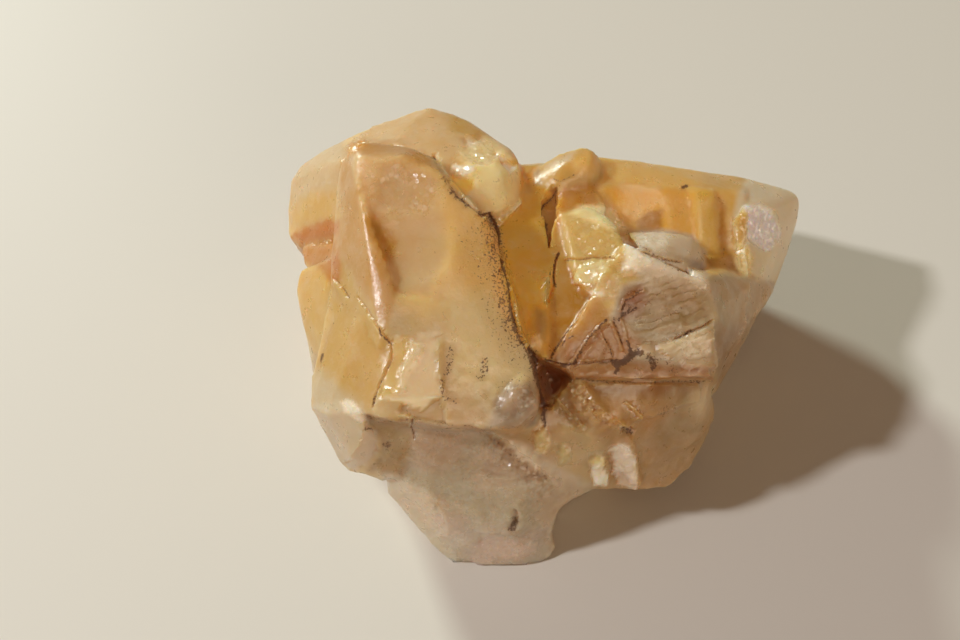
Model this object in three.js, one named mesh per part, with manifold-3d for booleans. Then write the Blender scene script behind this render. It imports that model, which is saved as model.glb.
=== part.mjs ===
import * as THREE from "three";
import { ConvexGeometry } from "three/addons/geometries/ConvexGeometry.js";
import { mergeVertices } from "three/addons/utils/BufferGeometryUtils.js";
import Module from "manifold-3d";

// Driving dimensions, in millimetres and degrees.
// The front was measured along one line of sight, from the front and above, so its
// corners are given as [right, up, near] of that sight: near is towards the eye.
// Corners of the back and the underside are plain [x, y, z], with z up from the table.
const SIGHT_STEEPNESS = 55;
const EYE_DISTANCE = 96;
const SIGHT_MIDDLE_HEIGHT = 22.1;
const CRACK_WIDTH = 0.35;
const CRACK_LIP = 1.2;
const SHALLOW_CRACK = 0.8;
const DEEP_CRACK = 1.3;
const WIDE_CRACK = 0.6;
const FLAKE_ROOT = 2;
const STEP_RISE = 0.45;
const LOW_STEP_RISE = 0.3;
const SPLINTER = { width: 0.25, thickness: 0.35 };
const WELD_DISTANCE = 1e-4;
const BALL_DETAIL = 9;
const SHELL_HOLLOW = { radius: 15, sink: 0.5 };
const BAR_HOLLOW = { radius: 12, sink: 0.5 };
const BREAK_REACH = [-17, 6];
const TABLE_BLOCK = { width: 200, depth: 40 };
const QUARTZ = { color: 0xd4b483, roughness: 0.3, metalness: 0 };

// Places and solids

const steepness = THREE.MathUtils.degToRad(SIGHT_STEEPNESS);
const sightRight = new THREE.Vector3(1, 0, 0);
const sightUp = new THREE.Vector3(0, Math.sin(steepness), Math.cos(steepness));
const sightNear = new THREE.Vector3(0, -Math.cos(steepness), Math.sin(steepness));
const sightMiddle = new THREE.Vector3(0, 0, SIGHT_MIDDLE_HEIGHT);

const wasm = await Module();
wasm.setup();

// What is farther from the eye looks smaller, so it is spread out again here.
function seen([right, up, near]) {
  const spread = (EYE_DISTANCE - near) / EYE_DISTANCE;
  return sightMiddle
    .clone()
    .addScaledVector(sightRight, right * spread)
    .addScaledVector(sightUp, up * spread)
    .addScaledVector(sightNear, near);
}

function solidOf(geometry) {
  geometry.deleteAttribute("normal");
  geometry.deleteAttribute("uv");
  const welded = mergeVertices(geometry, WELD_DISTANCE);
  return new wasm.Manifold(
    new wasm.Mesh({
      numProp: 3,
      vertProperties: welded.attributes.position.array,
      triVerts: new Uint32Array(welded.index.array),
    }),
  );
}

function geometryOf(solid) {
  const mesh = solid.getMesh();
  const geometry = new THREE.BufferGeometry();
  geometry.setAttribute("position", new THREE.BufferAttribute(new Float32Array(mesh.vertProperties), 3));
  geometry.setIndex(new THREE.BufferAttribute(new Uint32Array(mesh.triVerts), 1));
  return geometry;
}

// One convex lump of quartz between the edges of its front and those of its back.
function lump(frontEdges, backEdges = []) {
  const front = frontEdges.flat().map(seen);
  const back = backEdges.flat().map((corner) => new THREE.Vector3(...corner));
  return solidOf(new ConvexGeometry([...front, ...back]));
}

function joined(lumps) {
  return lumps.reduce((whole, next) => whole.add(next));
}

// The step of a given length that is square to the line between two seen places.
function across(from, to, step) {
  const [dx, dy] = [to[0] - from[0], to[1] - from[1]];
  const length = Math.hypot(dx, dy);
  return [(-dy / length) * step, (dx / length) * step];
}

// A crack is a row of wedges along its line, open at the surface and closed at its root.
function crack(line, depth, width = CRACK_WIDTH) {
  const wedges = [];
  for (let i = 0; i + 1 < line.length; i += 1) {
    const [from, to] = [line[i], line[i + 1]];
    const [aside, above] = across(from, to, width / 2);
    const lips = [from, to].flatMap(([right, up, near]) => [
      [right + aside, up + above, near + CRACK_LIP],
      [right - aside, up - above, near + CRACK_LIP],
    ]);
    const root = [from, to].map(([right, up, near]) => [right, up, near - depth]);
    wedges.push(lump([lips, root]));
  }
  return joined(wedges);
}

// A shell-shaped hollow is the print of a ball: sink is how deep the ball presses in at a place.
function ball(middle, radius) {
  const sphere = new THREE.IcosahedronGeometry(radius, BALL_DETAIL);
  sphere.translate(middle.x, middle.y, middle.z);
  return solidOf(sphere);
}

// It is pressed in along facing, which is [right, up, near] again.
function hollow(place, facing, { radius, sink }) {
  const outward = new THREE.Vector3()
    .addScaledVector(sightRight, facing[0])
    .addScaledVector(sightUp, facing[1])
    .addScaledVector(sightNear, facing[2])
    .setLength(radius - sink);
  return ball(seen(place).add(outward), radius);
}

// A quartz crystal has six sides and, where it is whole, a six-sided point.
function sixSided([from, to], girth, point) {
  const start = new THREE.Vector3(...from);
  const along = new THREE.Vector3(...to).sub(start);
  const length = along.length();
  const turn = new THREE.Quaternion().setFromUnitVectors(new THREE.Vector3(0, 1, 0), along.normalize());
  const sides = Array.from({ length: 6 }, (_, i) => (i * Math.PI) / 3);
  const spoke = (turned) => new THREE.Vector3(Math.cos(turned), 0, Math.sin(turned));
  const ring = (height) => sides.map((turned) => spoke(turned).multiplyScalar(girth).setY(height));
  const tip = new THREE.Vector3(0, length, 0);
  const corners = [...ring(0), ...ring(length - point), tip];
  return solidOf(new ConvexGeometry(corners.map((place) => place.applyQuaternion(turn).add(start))));
}

// The big front crystal

function frontCrystal() {
  const crest = [[-13.2, 17.2, -0.5], [-11.8, 17.9, -1], [-7, 17.4, -1], [-4.4, 16.2, -0.5]];
  const brow = [[-12.2, 16.4, 1.6], [-8, 16, 2.4], [-5, 14.8, 2]];
  const seam = [
    [-3.4, 14.4, 1.6], [-0.3, 10.8, 2], [1.4, 9.4, 2], [2, 6.2, 2.4], [3, 2, 3.2], [3.3, 0, 3.6],
    [5, -3, 4],
  ];
  const leftEdge = [[-13.9, 15.5, -2], [-14.4, 13, -3], [-14.4, 10.5, -3], [-14.2, 7, -2.5]];
  const lowerFace = [[-9.7, 5.8, 4], [-8.4, 2.8, 4.8], [-9, -2.3, 5.6], [0, -4, 5]];
  const root = [[-14, 3, 8], [-12, 18, 10], [4, 16, 10], [4, -4, 12], [-6, -6, 14]];
  const facing = [0.15, 0.2, 1];
  return lump([crest, brow, seam, leftEdge, lowerFace], [root])
    .subtract(hollow([-8.7, 12, 2.7], facing, SHELL_HOLLOW))
    .subtract(hollow([-8, 8.2, 3.3], facing, SHELL_HOLLOW));
}

function frontCrystalSideFacet() {
  const outer = [
    [-13.9, 15.6, -1.8], [-14.4, 13, -2.8], [-14.4, 10.5, -2.8], [-14.2, 7, -2.2], [-15, 4, -1.5],
  ];
  const ridge = [
    [-12.6, 15.9, 1.3], [-12.2, 13.5, 2.6], [-11.9, 11, 3.2], [-11.3, 8, 4], [-10.8, 6.8, 4.4],
  ];
  const toe = [[-9.7, 5.8, 4.7], [-9, 4.2, 5.1], [-8.4, 2.8, 5.5], [-9.2, -1.4, 6.1], [-10.2, -2.8, 5.9]];
  const root = [[-13, 6, 12], [-10, 10, 14]];
  return lump([outer, ridge, toe], [root]);
}

function frontCrystalFoot() {
  const top = [[-8.4, 2.8, 5.4], [-9, -2.3, 6.1], [3.3, 0, 3.6], [5, -3, 4]];
  const rightEdge = [[5.5, -4.5, 4.5], [6, -6.5, 5], [6.2, -8.5, 5]];
  const lip = [
    [-10.8, -9.4, 6], [-9.5, -9.9, 6.5], [-6, -9.8, 7], [-3, -10.6, 7], [0.5, -10.9, 6.5],
    [2.2, -11, 6], [4, -10.5, 5.5],
  ];
  const root = [[-13, -6, 10], [5, -8, 12], [4, -2, 8], [-12, 0, 8]];
  return lump([top, rightEdge, lip], [root]);
}

function frontCrystalPlate() {
  const top = [[-8.8, -2.5, 6.05], [-7, -1.7, 6], [-5.2, -1.6, 5.9], [-4.2, -2, 5.95]];
  const bottom = [[-10, -7.8, 6.5], [-6.4, -8, 6.85], [-3.8, -7.6, 6.85], [-4.4, -5.6, 6.6]];
  const root = [[-9, -2.5, 4], [-4, -1.5, 4], [-10, -7.8, 4], [-3.9, -7.8, 4]];
  return lump([top, bottom, root]);
}

function frontCrystalFlank() {
  const top = [[-14.2, 7, -2.5], [-13.5, 4, -0.5], [-9.7, 5.8, 4.6], [-8.6, 2.8, 5.3]];
  const inner = [[-9.2, -2.3, 5.9], [-9.8, -6, 6.1], [-10.8, -9.4, 5.9]];
  const outer = [
    [-15.4, 0.4, -2.5], [-16, -3.7, -1.2], [-16.8, -6, -1.5], [-17, -9, -1.5], [-15.5, -9.5, 2],
  ];
  const root = [[-16.5, -1, 7], [-13, 6, 6], [-8, -4, 8]];
  return lump([top, inner, outer], [root]);
}

function seamLump() {
  const top = [[4.5, -5.2, 5], [5.6, -6, 5]];
  const middle = [[2.6, -7, 6.3], [4, -7.6, 6.9], [5.4, -8, 5.9]];
  const bottom = [[1.7, -9.6, 6.2], [2.5, -11, 5], [4, -10.7, 5], [5.3, -9.5, 5], [5.9, -8, 5.2]];
  const root = [[3, -7, 1], [4, -9, 1]];
  return lump([top, middle, bottom, root]);
}

// The crystals behind it

function topCrystal() {
  const skyline = [
    [-11, 19.4, -11], [-8, 20.3, -11], [-5, 21.3, -10.5], [-2.8, 20.7, -10], [-1.2, 20, -9],
  ];
  const shoulder = [
    [0.5, 18.8, -8], [2, 17.8, -7.2], [3.2, 16.9, -6.3], [3.8, 16, -5.5], [4.1, 15.2, -5],
  ];
  const rightEdge = [[4.1, 12.2, -4], [3, 11.6, -2], [1.7, 10.6, -1.6]];
  const slope = [[-9, 17.6, -5], [-4.4, 16.2, -2.4], [-2.5, 13, -0.7], [0.6, 10.6, -0.9]];
  const brow = [[-0.2, 16.2, -2.6], [0.8, 16.4, -3.2], [2.2, 14.6, -2.2]];
  const back = [[-11, 28, 15], [-4, 30.5, 13], [4, 28.5, 15], [6, 19, 12], [-4, 28, 3], [-9, 26, 4]];
  return lump([skyline, shoulder, rightEdge, slope, brow], [back]);
}

function upperSlab() {
  const skyline = [
    [-9.6, 19.3, -10], [-11.2, 19.1, -10.4], [-14, 17.8, -11], [-16, 16.8, -13], [-18, 15.4, -15],
  ];
  const outer = [[-18.9, 14, -15.5], [-19.1, 11, -15], [-19.1, 8.4, -14], [-18, 7.3, -12.5]];
  const inner = [[-9, 17.6, -5], [-13.8, 16, -5], [-13.8, 9, -5]];
  const back = [[-22.4, 22, 12], [-20, 27, 13], [-11, 28, 15], [-18, 24, 3], [-9, 26, 3], [-19, 16, 6]];
  return lump([skyline, outer, inner], [back]);
}

function slabNeck() {
  const front = [[-17.8, 7.2, -11], [-17.6, 5.8, -10], [-17.1, 5, -9], [-14, 8, -5], [-14.4, 5, -4]];
  const back = [[-18, 16, 8], [-12, 16, 8], [-16, 12, 6]];
  return lump([front], [back]);
}

function lowerSlab() {
  const outer = [
    [-17.9, 5.2, -8], [-18.4, 3, -8], [-18, 1, -7.5], [-17.4, -1.5, -7], [-16.8, -3.2, -6],
  ];
  const inner = [
    [-14.2, 6.5, -4], [-15.4, 3.5, -3.4], [-15.4, 1.8, -3], [-14.7, 0, -2.6], [-15.6, -3, -2.6],
    [-16, -3.8, -4.5],
  ];
  const back = [[-20.5, 9, 10], [-19, 3, 6], [-14, 10, 4], [-15, 0, 6]];
  return lump([outer, inner], [back]);
}

function amberCrystal() {
  const skyline = [[4, 15.4, -9], [6.2, 15.5, -9.5], [12, 16.1, -9.5]];
  const underTop = [[0.4, 10.8, -3.6], [1.4, 9.8, -3], [3.4, 12, -4.6]];
  const seamSide = [[2, 8, -2.4], [2.5, 3, -1], [3.2, 0, 0.4], [5, -2.8, 1.4], [6.8, -4.2, 1.8]];
  const rightSide = [[7, 12, -5.4], [7, 8, -3.6], [7, 4, -1.6], [7.4, 0, 0.2]];
  const back = [[3, 29, 14], [13, 29, 14], [12, 25, 4], [3, 25, 4], [8, -4, 10]];
  return lump([skyline, underTop, seamSide, rightSide], [back]);
}

function amberStep() {
  const top = [[7, 14, -6], [10.5, 14, -6.4], [12.4, 12, -6]];
  const front = [[7.4, 10.5, -4.8], [7.6, 6, -3], [7.2, 2.5, -1.2], [8, -1.5, 0.6], [7.4, -4.2, 1.8]];
  const rightSide = [[12.8, 9.5, -4.5], [13.2, 3, -2], [13, 0.2, -0.6], [9, -4.2, 1.8]];
  const back = [[8, 18, 12], [14, 16, 12], [12, -2, 12]];
  return lump([top, front, rightSide], [back]);
}

function topPebble() {
  const rim = [
    [5.5, 15, -8], [6.6, 16, -8], [8, 16.8, -7.5], [10.2, 17.4, -7], [11.4, 17.1, -7],
    [12.2, 16, -7.5],
  ];
  const brow = [[8, 15.4, -5.6], [9.6, 16.2, -5.6], [11, 15.8, -5.5]];
  const lip = [
    [12, 14.6, -6.6], [11.1, 13.8, -5.8], [9.4, 14.1, -5.3], [7.8, 13.4, -5.3], [6.4, 13.4, -6],
    [5.4, 14, -7],
  ];
  const root = [[8, 20, 18], [11, 20, 18], [9, 15, 18]];
  return lump([rim, brow, lip], [root]);
}

function longBar() {
  const skyline = [
    [10.5, 16.2, -9], [12.2, 16.3, -9], [14, 15.8, -9.5], [17, 15.3, -10.5], [20.5, 14.7, -12],
    [24, 14.5, -13], [26.8, 14.2, -14.5],
  ];
  const shelf = [
    [10.5, 13.4, -6.6], [13, 13.2, -6.5], [16, 13.4, -7.2], [20, 13.4, -8.4], [26.5, 12.6, -10],
  ];
  const foot = [[11, 9, -6.8], [14.5, 7.4, -6.6], [18, 7, -7], [22, 5.4, -8.2], [25.6, 4.6, -9.4]];
  const back = [[12, 29.4, 15], [26, 28.6, 12], [13, 27, 4], [26, 26, 4]];
  const facing = [0, 0, 1];
  return lump([skyline, shelf, foot], [back]).subtract(hollow([17, 11.2, -7.4], facing, BAR_HOLLOW));
}

function barRidge() {
  const top = [[20.9, 13.3, -8.4], [23.4, 13.1, -8.7]];
  const front = [[21.6, 12, -8], [23.2, 12.2, -8.3], [23.6, 9, -8.3], [23.9, 6.2, -8.4]];
  const foot = [[22, 8, -7.9], [22.4, 5.6, -8.1], [24, 5.3, -8.9]];
  const root = [[21, 12, -12], [24, 12, -12], [22, 6, -12], [24, 6, -12]];
  return lump([top, front, foot, root]);
}

function rightEnd() {
  const skyline = [
    [26.8, 14.2, -14], [27.7, 13.7, -15], [29.4, 13.4, -16], [31, 13, -16.5], [31.8, 12.4, -16.5],
  ];
  const outer = [
    [32, 11.6, -16.5], [31.7, 9.6, -16], [30.5, 7, -15.4], [29.8, 5.6, -15], [29.5, 3.4, -14.3],
  ];
  const frontTop = [[25.5, 9.9, -8.8], [26.5, 11, -9], [27.6, 11.5, -10], [29.3, 11, -11.4]];
  const frontFoot = [
    [30, 9.2, -12], [28.6, 7.4, -10.4], [27, 4.5, -9], [28, 3.7, -9.4], [25.8, 5.5, -9.4],
  ];
  const back = [[38.6, 22, 10], [35, 26, 11], [27, 28.4, 12], [33, 22, 4], [28, 25, 3]];
  return lump([skyline, outer, frontTop, frontFoot], [back]);
}

function rightEndStripe() {
  const top = [[25.6, 9.8, -8.7], [26.6, 9.6, -9]];
  const foot = [[26.2, 5.2, -8.7], [27.1, 4.4, -8.6], [27, 7, -8.6]];
  const root = [[26, 9.6, -12], [27, 5, -12]];
  return lump([top, foot, root]);
}

// The floor of the nook between the bar, the right end and the shaded side.
function nookFloor() {
  const top = [[22.2, 6.4, -7.6], [25.4, 6.6, -8.6], [28, 6, -9.8]];
  const foot = [[22.4, 4.6, -4.6], [24.5, 4.6, -6.8], [27.4, 4.2, -8.8]];
  const root = [[23, 8, -14], [27, 8, -15], [27, 3, -14], [23, 3, -12]];
  return lump([top, foot, root]);
}

// The pale broken middle

function greyCap() {
  const top = [
    [14.5, 8.9, -5], [17, 8.8, -5.4], [20.2, 8.6, -6], [21.2, 8.2, -6.2], [22.1, 7.4, -6.6],
    [22.4, 6.2, -6.6],
  ];
  const brow = [[15.8, 7.4, -1.6], [18, 7.4, -2.4], [21, 6.4, -3.6]];
  const lip = [[17.5, 6.2, -1.6], [19.2, 5.4, -2.2], [21, 4.7, -3.6], [21.8, 5.4, -4.6]];
  const root = [[15, 8, -12], [21, 7, -12], [20, 5, -10]];
  return lump([top, brow, lip, root]);
}

function paleBlock() {
  const ridge = [
    [14.3, 7.7, -0.5], [16, 7, -0.3], [17.5, 5.8, 0], [19.2, 5, 0], [21, 4.4, -0.3],
    [23, 3.7, -0.8],
  ];
  const leftEdge = [[14.2, 5, 0], [12.8, 1.6, 0.4], [10, -1.8, 1.2], [7.2, -4.2, 1.8]];
  const rightEdge = [
    [23.3, 2.5, -0.8], [23.8, 0.8, -0.8], [22.4, -0.8, -0.4], [23.4, -1.6, -0.4], [23.2, -4, -0.6],
  ];
  const foot = [[22.7, -5.7, -0.6], [14, -6, 0.8], [9.5, -5.8, 1.8]];
  const root = [[14, 8, 12], [22, 6, 12], [22, -3, 12], [9, -5, 12]];
  return lump([ridge, leftEdge, rightEdge, foot], [root]);
}

function paleLedge() {
  const top = [[7.4, -4.2, 2], [13, -4.6, 1.9], [18, -4.4, 0.9], [23.1, -4.3, 0.1]];
  const edge = [[9.5, -5.7, 2.6], [14, -5.9, 2], [23.2, -5.8, 0.4]];
  const root = [[10, -4, -3], [23, -4, -4], [11, -5.8, -3], [23, -5.6, -4]];
  return lump([top, edge, root]);
}

// A cleavage step is a thin wedge: flush with the face on one side and raised on the other.
function cleavageStep(flush, raised, thickness) {
  const lifted = raised.map(([right, up, near]) => [right, up, near + thickness]);
  const root = [...flush, ...raised].map(([right, up, near]) => [right, up, near - FLAKE_ROOT]);
  return lump([flush, lifted, root]);
}

function paleSteps() {
  const upperFlush = [[19.5, 1.4, -0.1], [23.2, 1, -0.7]];
  const upperRaised = [[17.6, -0.9, 0.2], [20, -0.5, 0], [22.6, -0.8, -0.5]];
  const lowerFlush = [[17.2, -4, 0.5], [23.2, -4.2, -0.6]];
  const lowerRaised = [[16.2, -3.4, 0.4], [18.4, -2.4, 0.3], [21.4, -1.2, -0.2], [23.3, -1.7, -0.5]];
  const cornerFlush = [[15.8, 4.6, 0.1], [14.4, 5, 0.1]];
  const cornerRaised = [[14.4, 7.4, -0.3], [16.2, 6.6, -0.1]];
  return joined([
    cleavageStep(upperFlush, upperRaised, STEP_RISE),
    cleavageStep(lowerFlush, lowerRaised, STEP_RISE),
    cleavageStep(cornerFlush, cornerRaised, LOW_STEP_RISE),
  ]);
}

function splinter([from, to]) {
  const { width, thickness } = SPLINTER;
  const [aside, above] = across(from, to, width);
  const rim = [from, to].flatMap(([right, up, near]) => [
    [right + aside, up + above, near],
    [right - aside, up - above, near],
    [right, up, near + thickness],
    [right, up, near - FLAKE_ROOT],
  ]);
  return lump([rim]);
}

function paleSplinters() {
  const lines = [
    [[12.7, -0.3, 0.6], [14.2, -3.4, 1]],
    [[13.4, -0.2, 0.6], [14.8, -3.8, 0.9]],
    [[14.1, 0, 0.5], [15.6, -3, 0.7]],
    [[12.3, -1, 0.8], [10.2, -3.4, 1.5]],
    [[10, -1.4, 1], [8.2, -3.9, 1.8]],
  ];
  return joined(lines.map(splinter));
}

function goldenFacet() {
  const top = [
    [7.9, 10.7, -4], [8.8, 10.7, -4], [10.8, 11.2, -4.4], [12.4, 10.6, -4.2], [14, 9.2, -3.6],
  ];
  const middle = [[8.8, 9.4, -3], [14.4, 7.6, -1.4], [14.5, 5, -0.3]];
  const lip = [[9.6, 4.2, -0.9], [10.2, 3.2, -0.6], [12.7, 2.2, 0.1], [13, 2.8, 0]];
  const root = [[9, 16, 12], [14, 14, 12], [10, 6, 14], [13, 4, 14]];
  return lump([top, middle, lip], [root]);
}

function goldenFlake() {
  const top = [[9.8, 6, -1.5], [12, 6.2, -1.1], [14.4, 5.6, -0.4]];
  const lip = [[9.7, 4, -0.6], [11.4, 3.6, 0], [13.2, 3.4, 0.25], [14.3, 4.6, 0.1]];
  const root = [[10, 5, -5], [14, 5, -5]];
  return lump([top, lip, root]);
}

function shadedSide() {
  const ridge = [[21, 5, -2.2], [23, 4.8, -3], [25.5, 4.9, -8], [28, 4, -9]];
  const inner = [[22.9, 3.7, -0.9], [23.7, 0.8, -0.9], [23.2, -5.7, -0.9]];
  const outer = [
    [29.5, 3.3, -13], [28.5, 2, -13], [27.2, -0.5, -12.6], [26.2, -2.5, -12], [24.7, -5.2, -10.6],
    [23.6, -7.4, -9],
  ];
  const back = [[35, 15, 5], [29, 6, 3], [30, 22, 2], [24, 4, 0]];
  return lump([ridge, inner, outer], [back]);
}

// The lower front

function lowerBody() {
  const top = [[9.5, -5.9, 1], [17, -6.4, 0.6], [23, -6.4, -2.6]];
  const leftEdge = [
    [8.4, -7.6, 1.2], [6.6, -10, 1.2], [4, -11.2, 2], [2.4, -11.6, 2], [3.4, -13.2, 0.8],
    [4.6, -14.2, 0.2],
  ];
  const brow = [[22.4, -8.6, -2.8], [16, -9.6, 0.2], [12.4, -10.6, 1.2]];
  const rightEdge = [
    [23.4, -8, -7], [23.3, -10, -8], [22.3, -12.5, -9], [21, -14.8, -9.5], [18.8, -16.8, -9],
  ];
  const lip = [
    [17, -16.7, -8], [16, -17.1, -7], [14.2, -16.5, -6.2], [12.5, -16.4, -5.6],
    [11.2, -16.9, -5.4], [8, -15.6, -2.4],
  ];
  const back = [[25, 0, 3], [17, -4, 2], [12, -7, 1], [14, 4, 0], [24, 8, 2]];
  return lump([top, leftEdge, brow, rightEdge, lip], [back]);
}

function lowerBodyFacets() {
  const sheetFlush = [[10.4, -6.5, 1.6], [12.8, -9.6, 1.4]];
  const sheetRaised = [[8.8, -6.8, 1.7], [9.6, -9.4, 1.8], [11.6, -10.4, 1.7]];
  const tileFlush = [[13.2, -12, -0.4], [15.4, -12.2, -1]];
  const tileRaised = [[16, -14, -2.6], [16.2, -16.8, -5.4], [13.6, -15, -3.2]];
  const lowFlush = [[11.4, -14, -1.4], [12.7, -14.6, -2.2]];
  const lowRaised = [[13.2, -16.3, -4.6], [11.8, -16.4, -4.4]];
  return joined([
    cleavageStep(sheetFlush, sheetRaised, LOW_STEP_RISE),
    cleavageStep(tileFlush, tileRaised, STEP_RISE),
    cleavageStep(lowFlush, lowRaised, STEP_RISE),
  ]);
}

function milkyBase() {
  const top = [[-10, -10, 1], [-6.8, -10.8, 2.6], [-3, -10.8, 3], [1, -11.3, 2.6], [4.6, -13, 1.4]];
  const leftRidge = [[-7.6, -16.2, -2], [-5.2, -18, -2.4], [-2.2, -22.4, -5.6]];
  const rightRidge = [[5.6, -15.2, -0.4], [3.2, -18, -1.9], [3.4, -21, -3.8], [4, -24, -7]];
  const leftEdge = [
    [-9.5, -16, -4.5], [-9.3, -17.4, -5.2], [-7.8, -19.2, -6.2], [-6, -21.2, -7.4],
    [-4, -23.2, -8.4], [-2.3, -24.8, -9],
  ];
  const foot = [[0, -25.1, -9.2], [3, -25.2, -9.2], [6.4, -24.6, -9]];
  const rightEdge = [
    [7.4, -23.2, -8.4], [7.6, -22, -8], [7.4, -20.8, -7.5], [8.2, -19.8, -7], [9, -18.5, -6.5],
    [11, -17.5, -5.5],
  ];
  const back = [[11, -8, 0], [-9, -9, 0], [-11, -3, 6], [8, 0, 4]];
  return lump([top, leftRidge, rightRidge, leftEdge, foot, rightEdge], [back]);
}

function smallPrism() {
  const outer = [
    [-16.7, -9, -2], [-15.6, -11.2, -2.2], [-14.7, -12.7, -2.5], [-14, -14.2, -3],
    [-13, -15.2, -3], [-12.3, -15.3, -3],
  ];
  const topEdge = [[-15.2, -9.6, 1.6], [-14, -9.8, 2.8], [-12.2, -9.8, 3.6]];
  const ridge = [[-11.4, -11, 3.4], [-11.8, -12, 2.4], [-12.7, -14, 0.6]];
  const rightFacet = [
    [-10.4, -11.6, 1.6], [-10.3, -12.6, 0.8], [-10.7, -14, -0.4], [-11.9, -14.5, -0.6],
  ];
  const back = [[-15, -5, 8], [-11, -9, 6], [-13, 0, 5]];
  return lump([outer, topEdge, ridge, rightFacet], [back]);
}

function rustyPatch() {
  const top = [[-11.4, -9.6, 3], [-10.6, -10, 2.4], [-7, -10.4, 2.4]];
  const foot = [
    [-7, -14, 0.4], [-8.4, -16, -1.6], [-9.5, -16.2, -3.2], [-12, -15.3, -3], [-10.6, -14, -0.8],
  ];
  const back = [[-12, -6, 6], [-7, -8, 6]];
  return lump([top, foot], [back]);
}

// The massive quartz inside and behind, down to the broken face it rests on

function massiveBody() {
  const rest = [
    [0, -16, 0], [7, -15, 0], [11, -9, 0], [19, 0, 0], [25, 10, 0], [21, 23, 0], [6, 26, 0],
    [-9, 24, 0], [-15.5, 13, 0], [-13, 1, 0], [-9, -9, 0],
  ];
  const waist = [
    [30, 9, 9], [32, 21, 9], [27, 27.5, 9], [8, 30, 8], [-10, 28, 9], [-20, 19, 9], [-18, 9, 10],
    [-15.5, 2, 10],
  ];
  const shoulder = [
    [-12, 17, 20], [0, 22, 20], [14, 19, 20], [26, 19, 16], [20, 2, 16], [4, -6, 18],
    [-10, -2, 17],
  ];
  return lump([], [rest, waist, shoulder]);
}

// Ends of buried crystals stand out of the broken back and sides.
function buriedCrystals() {
  return joined([
    sixSided([[6, 20, 8], [11, 31, 10]], 5, 3),
    sixSided([[-12, 20, 5], [-19, 27, 8]], 4.4, 3.6),
    sixSided([[-8, 4, 4], [-17.6, 5, 5]], 4, 3),
  ]);
}

// What is broken out or split

function cavity() {
  const mouth = [[5.2, -3.2, 9], [9.6, -5.6, 9], [6.6, -10.6, 9]];
  const floor = [[5.6, -3.8, -1], [8.8, -5.6, -1], [6.7, -9.4, -1], [7, -6, -6]];
  return lump([mouth, floor]);
}

function amberGap() {
  const mouth = [[6.6, 13.4, 0], [7.9, 12.8, 0], [7.5, 10.6, 0], [7, 7.5, 0], [6.3, 11.2, 0]];
  const floor = [[7.1, 12.6, -9], [7, 9, -6]];
  return lump([mouth, floor]);
}

function cracks() {
  const seam = [
    [-4.4, 16.6, 0.6], [-2.6, 13.6, 0.8], [-0.6, 11.1, 1.2], [1.5, 9.2, 1.4], [2.1, 6.2, 1.8],
    [3.2, 2, 2.4], [3.8, 0, 2.8], [5.2, -2.6, 3.4],
  ];
  const amber = [[7.8, 6.8, -3], [7.2, 5, -2.2], [7.5, 3.6, -1.6], [6.8, 1.8, -0.8]];
  const golden = [[9.5, 6.2, -1.6], [11.4, 6.1, -1.4], [13, 6.2, -1.2]];
  const ledge = [[8, -4.3, 2], [13, -4.6, 2], [16.4, -4.4, 1.4]];
  const underLedge = [[9.6, -6.1, 2], [14, -6.3, 1.6], [23.3, -6.2, 0]];
  const flankUpper = [[-12, 2, 4], [-10.2, -0.8, 5.4], [-9, -2.3, 6]];
  const flankLower = [[-9.6, -5.6, 6.3], [-10.3, -7.8, 6.4], [-10.8, -9.6, 6]];
  const slab = [[-15, 1, -2.6], [-14.8, -0.2, -2.4], [-15.2, -2, -2.6], [-15.9, -3.6, -3]];
  const stepCrack = [[19.8, -1, 0.4], [21.8, -1.1, 0], [23.4, -0.6, -0.4]];
  const splitA = [[9.2, -0.4, 1.2], [8.2, -2, 1.6], [7.2, -4, 2.2]];
  const splitB = [[12.6, -0.9, 1.2], [11, -2.4, 1.6], [9.4, -4.2, 2.2]];
  const bodyCrack = [[9.4, -6.6, 2.4], [9.8, -8.4, 2.4], [11.4, -10.4, 2], [13.6, -11.6, 1]];
  return joined([
    crack(seam, DEEP_CRACK, WIDE_CRACK),
    crack(underLedge, DEEP_CRACK, WIDE_CRACK),
    ...[amber, golden, ledge, flankUpper, flankLower, slab].map((line) => crack(line, SHALLOW_CRACK)),
    ...[stepCrack, splitA, splitB, bodyCrack].map((line) => crack(line, SHALLOW_CRACK)),
  ]);
}

function baseBreak() {
  const outline = [
    [11.8, -16.9], [9.4, -17.8], [8.1, -18.7], [7.6, -19.8], [7.3, -21], [7.5, -22.4], [12, -25],
    [15, -18],
  ];
  return lump([BREAK_REACH.flatMap((near) => outline.map(([right, up]) => [right, up, near]))]);
}

function pit() {
  const mouth = [[13.8, -10.7, 2.5], [15.3, -11.2, 2.5], [15.4, -11.7, 2.5], [14, -11.5, 2.5]];
  const floor = [[14.5, -11.3, -1.4]];
  return lump([mouth, floor]);
}

function backHollows() {
  return joined([
    ball(new THREE.Vector3(0, 47, 8), 19),
    ball(new THREE.Vector3(24, 43, 22), 16),
    ball(new THREE.Vector3(-34, 10, 2), 16),
    ball(new THREE.Vector3(38, 2, -2), 12),
  ]);
}

function tableBlock() {
  const block = new THREE.BoxGeometry(TABLE_BLOCK.width, TABLE_BLOCK.width, TABLE_BLOCK.depth);
  block.translate(0, 0, -TABLE_BLOCK.depth / 2);
  return solidOf(block);
}

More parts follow.
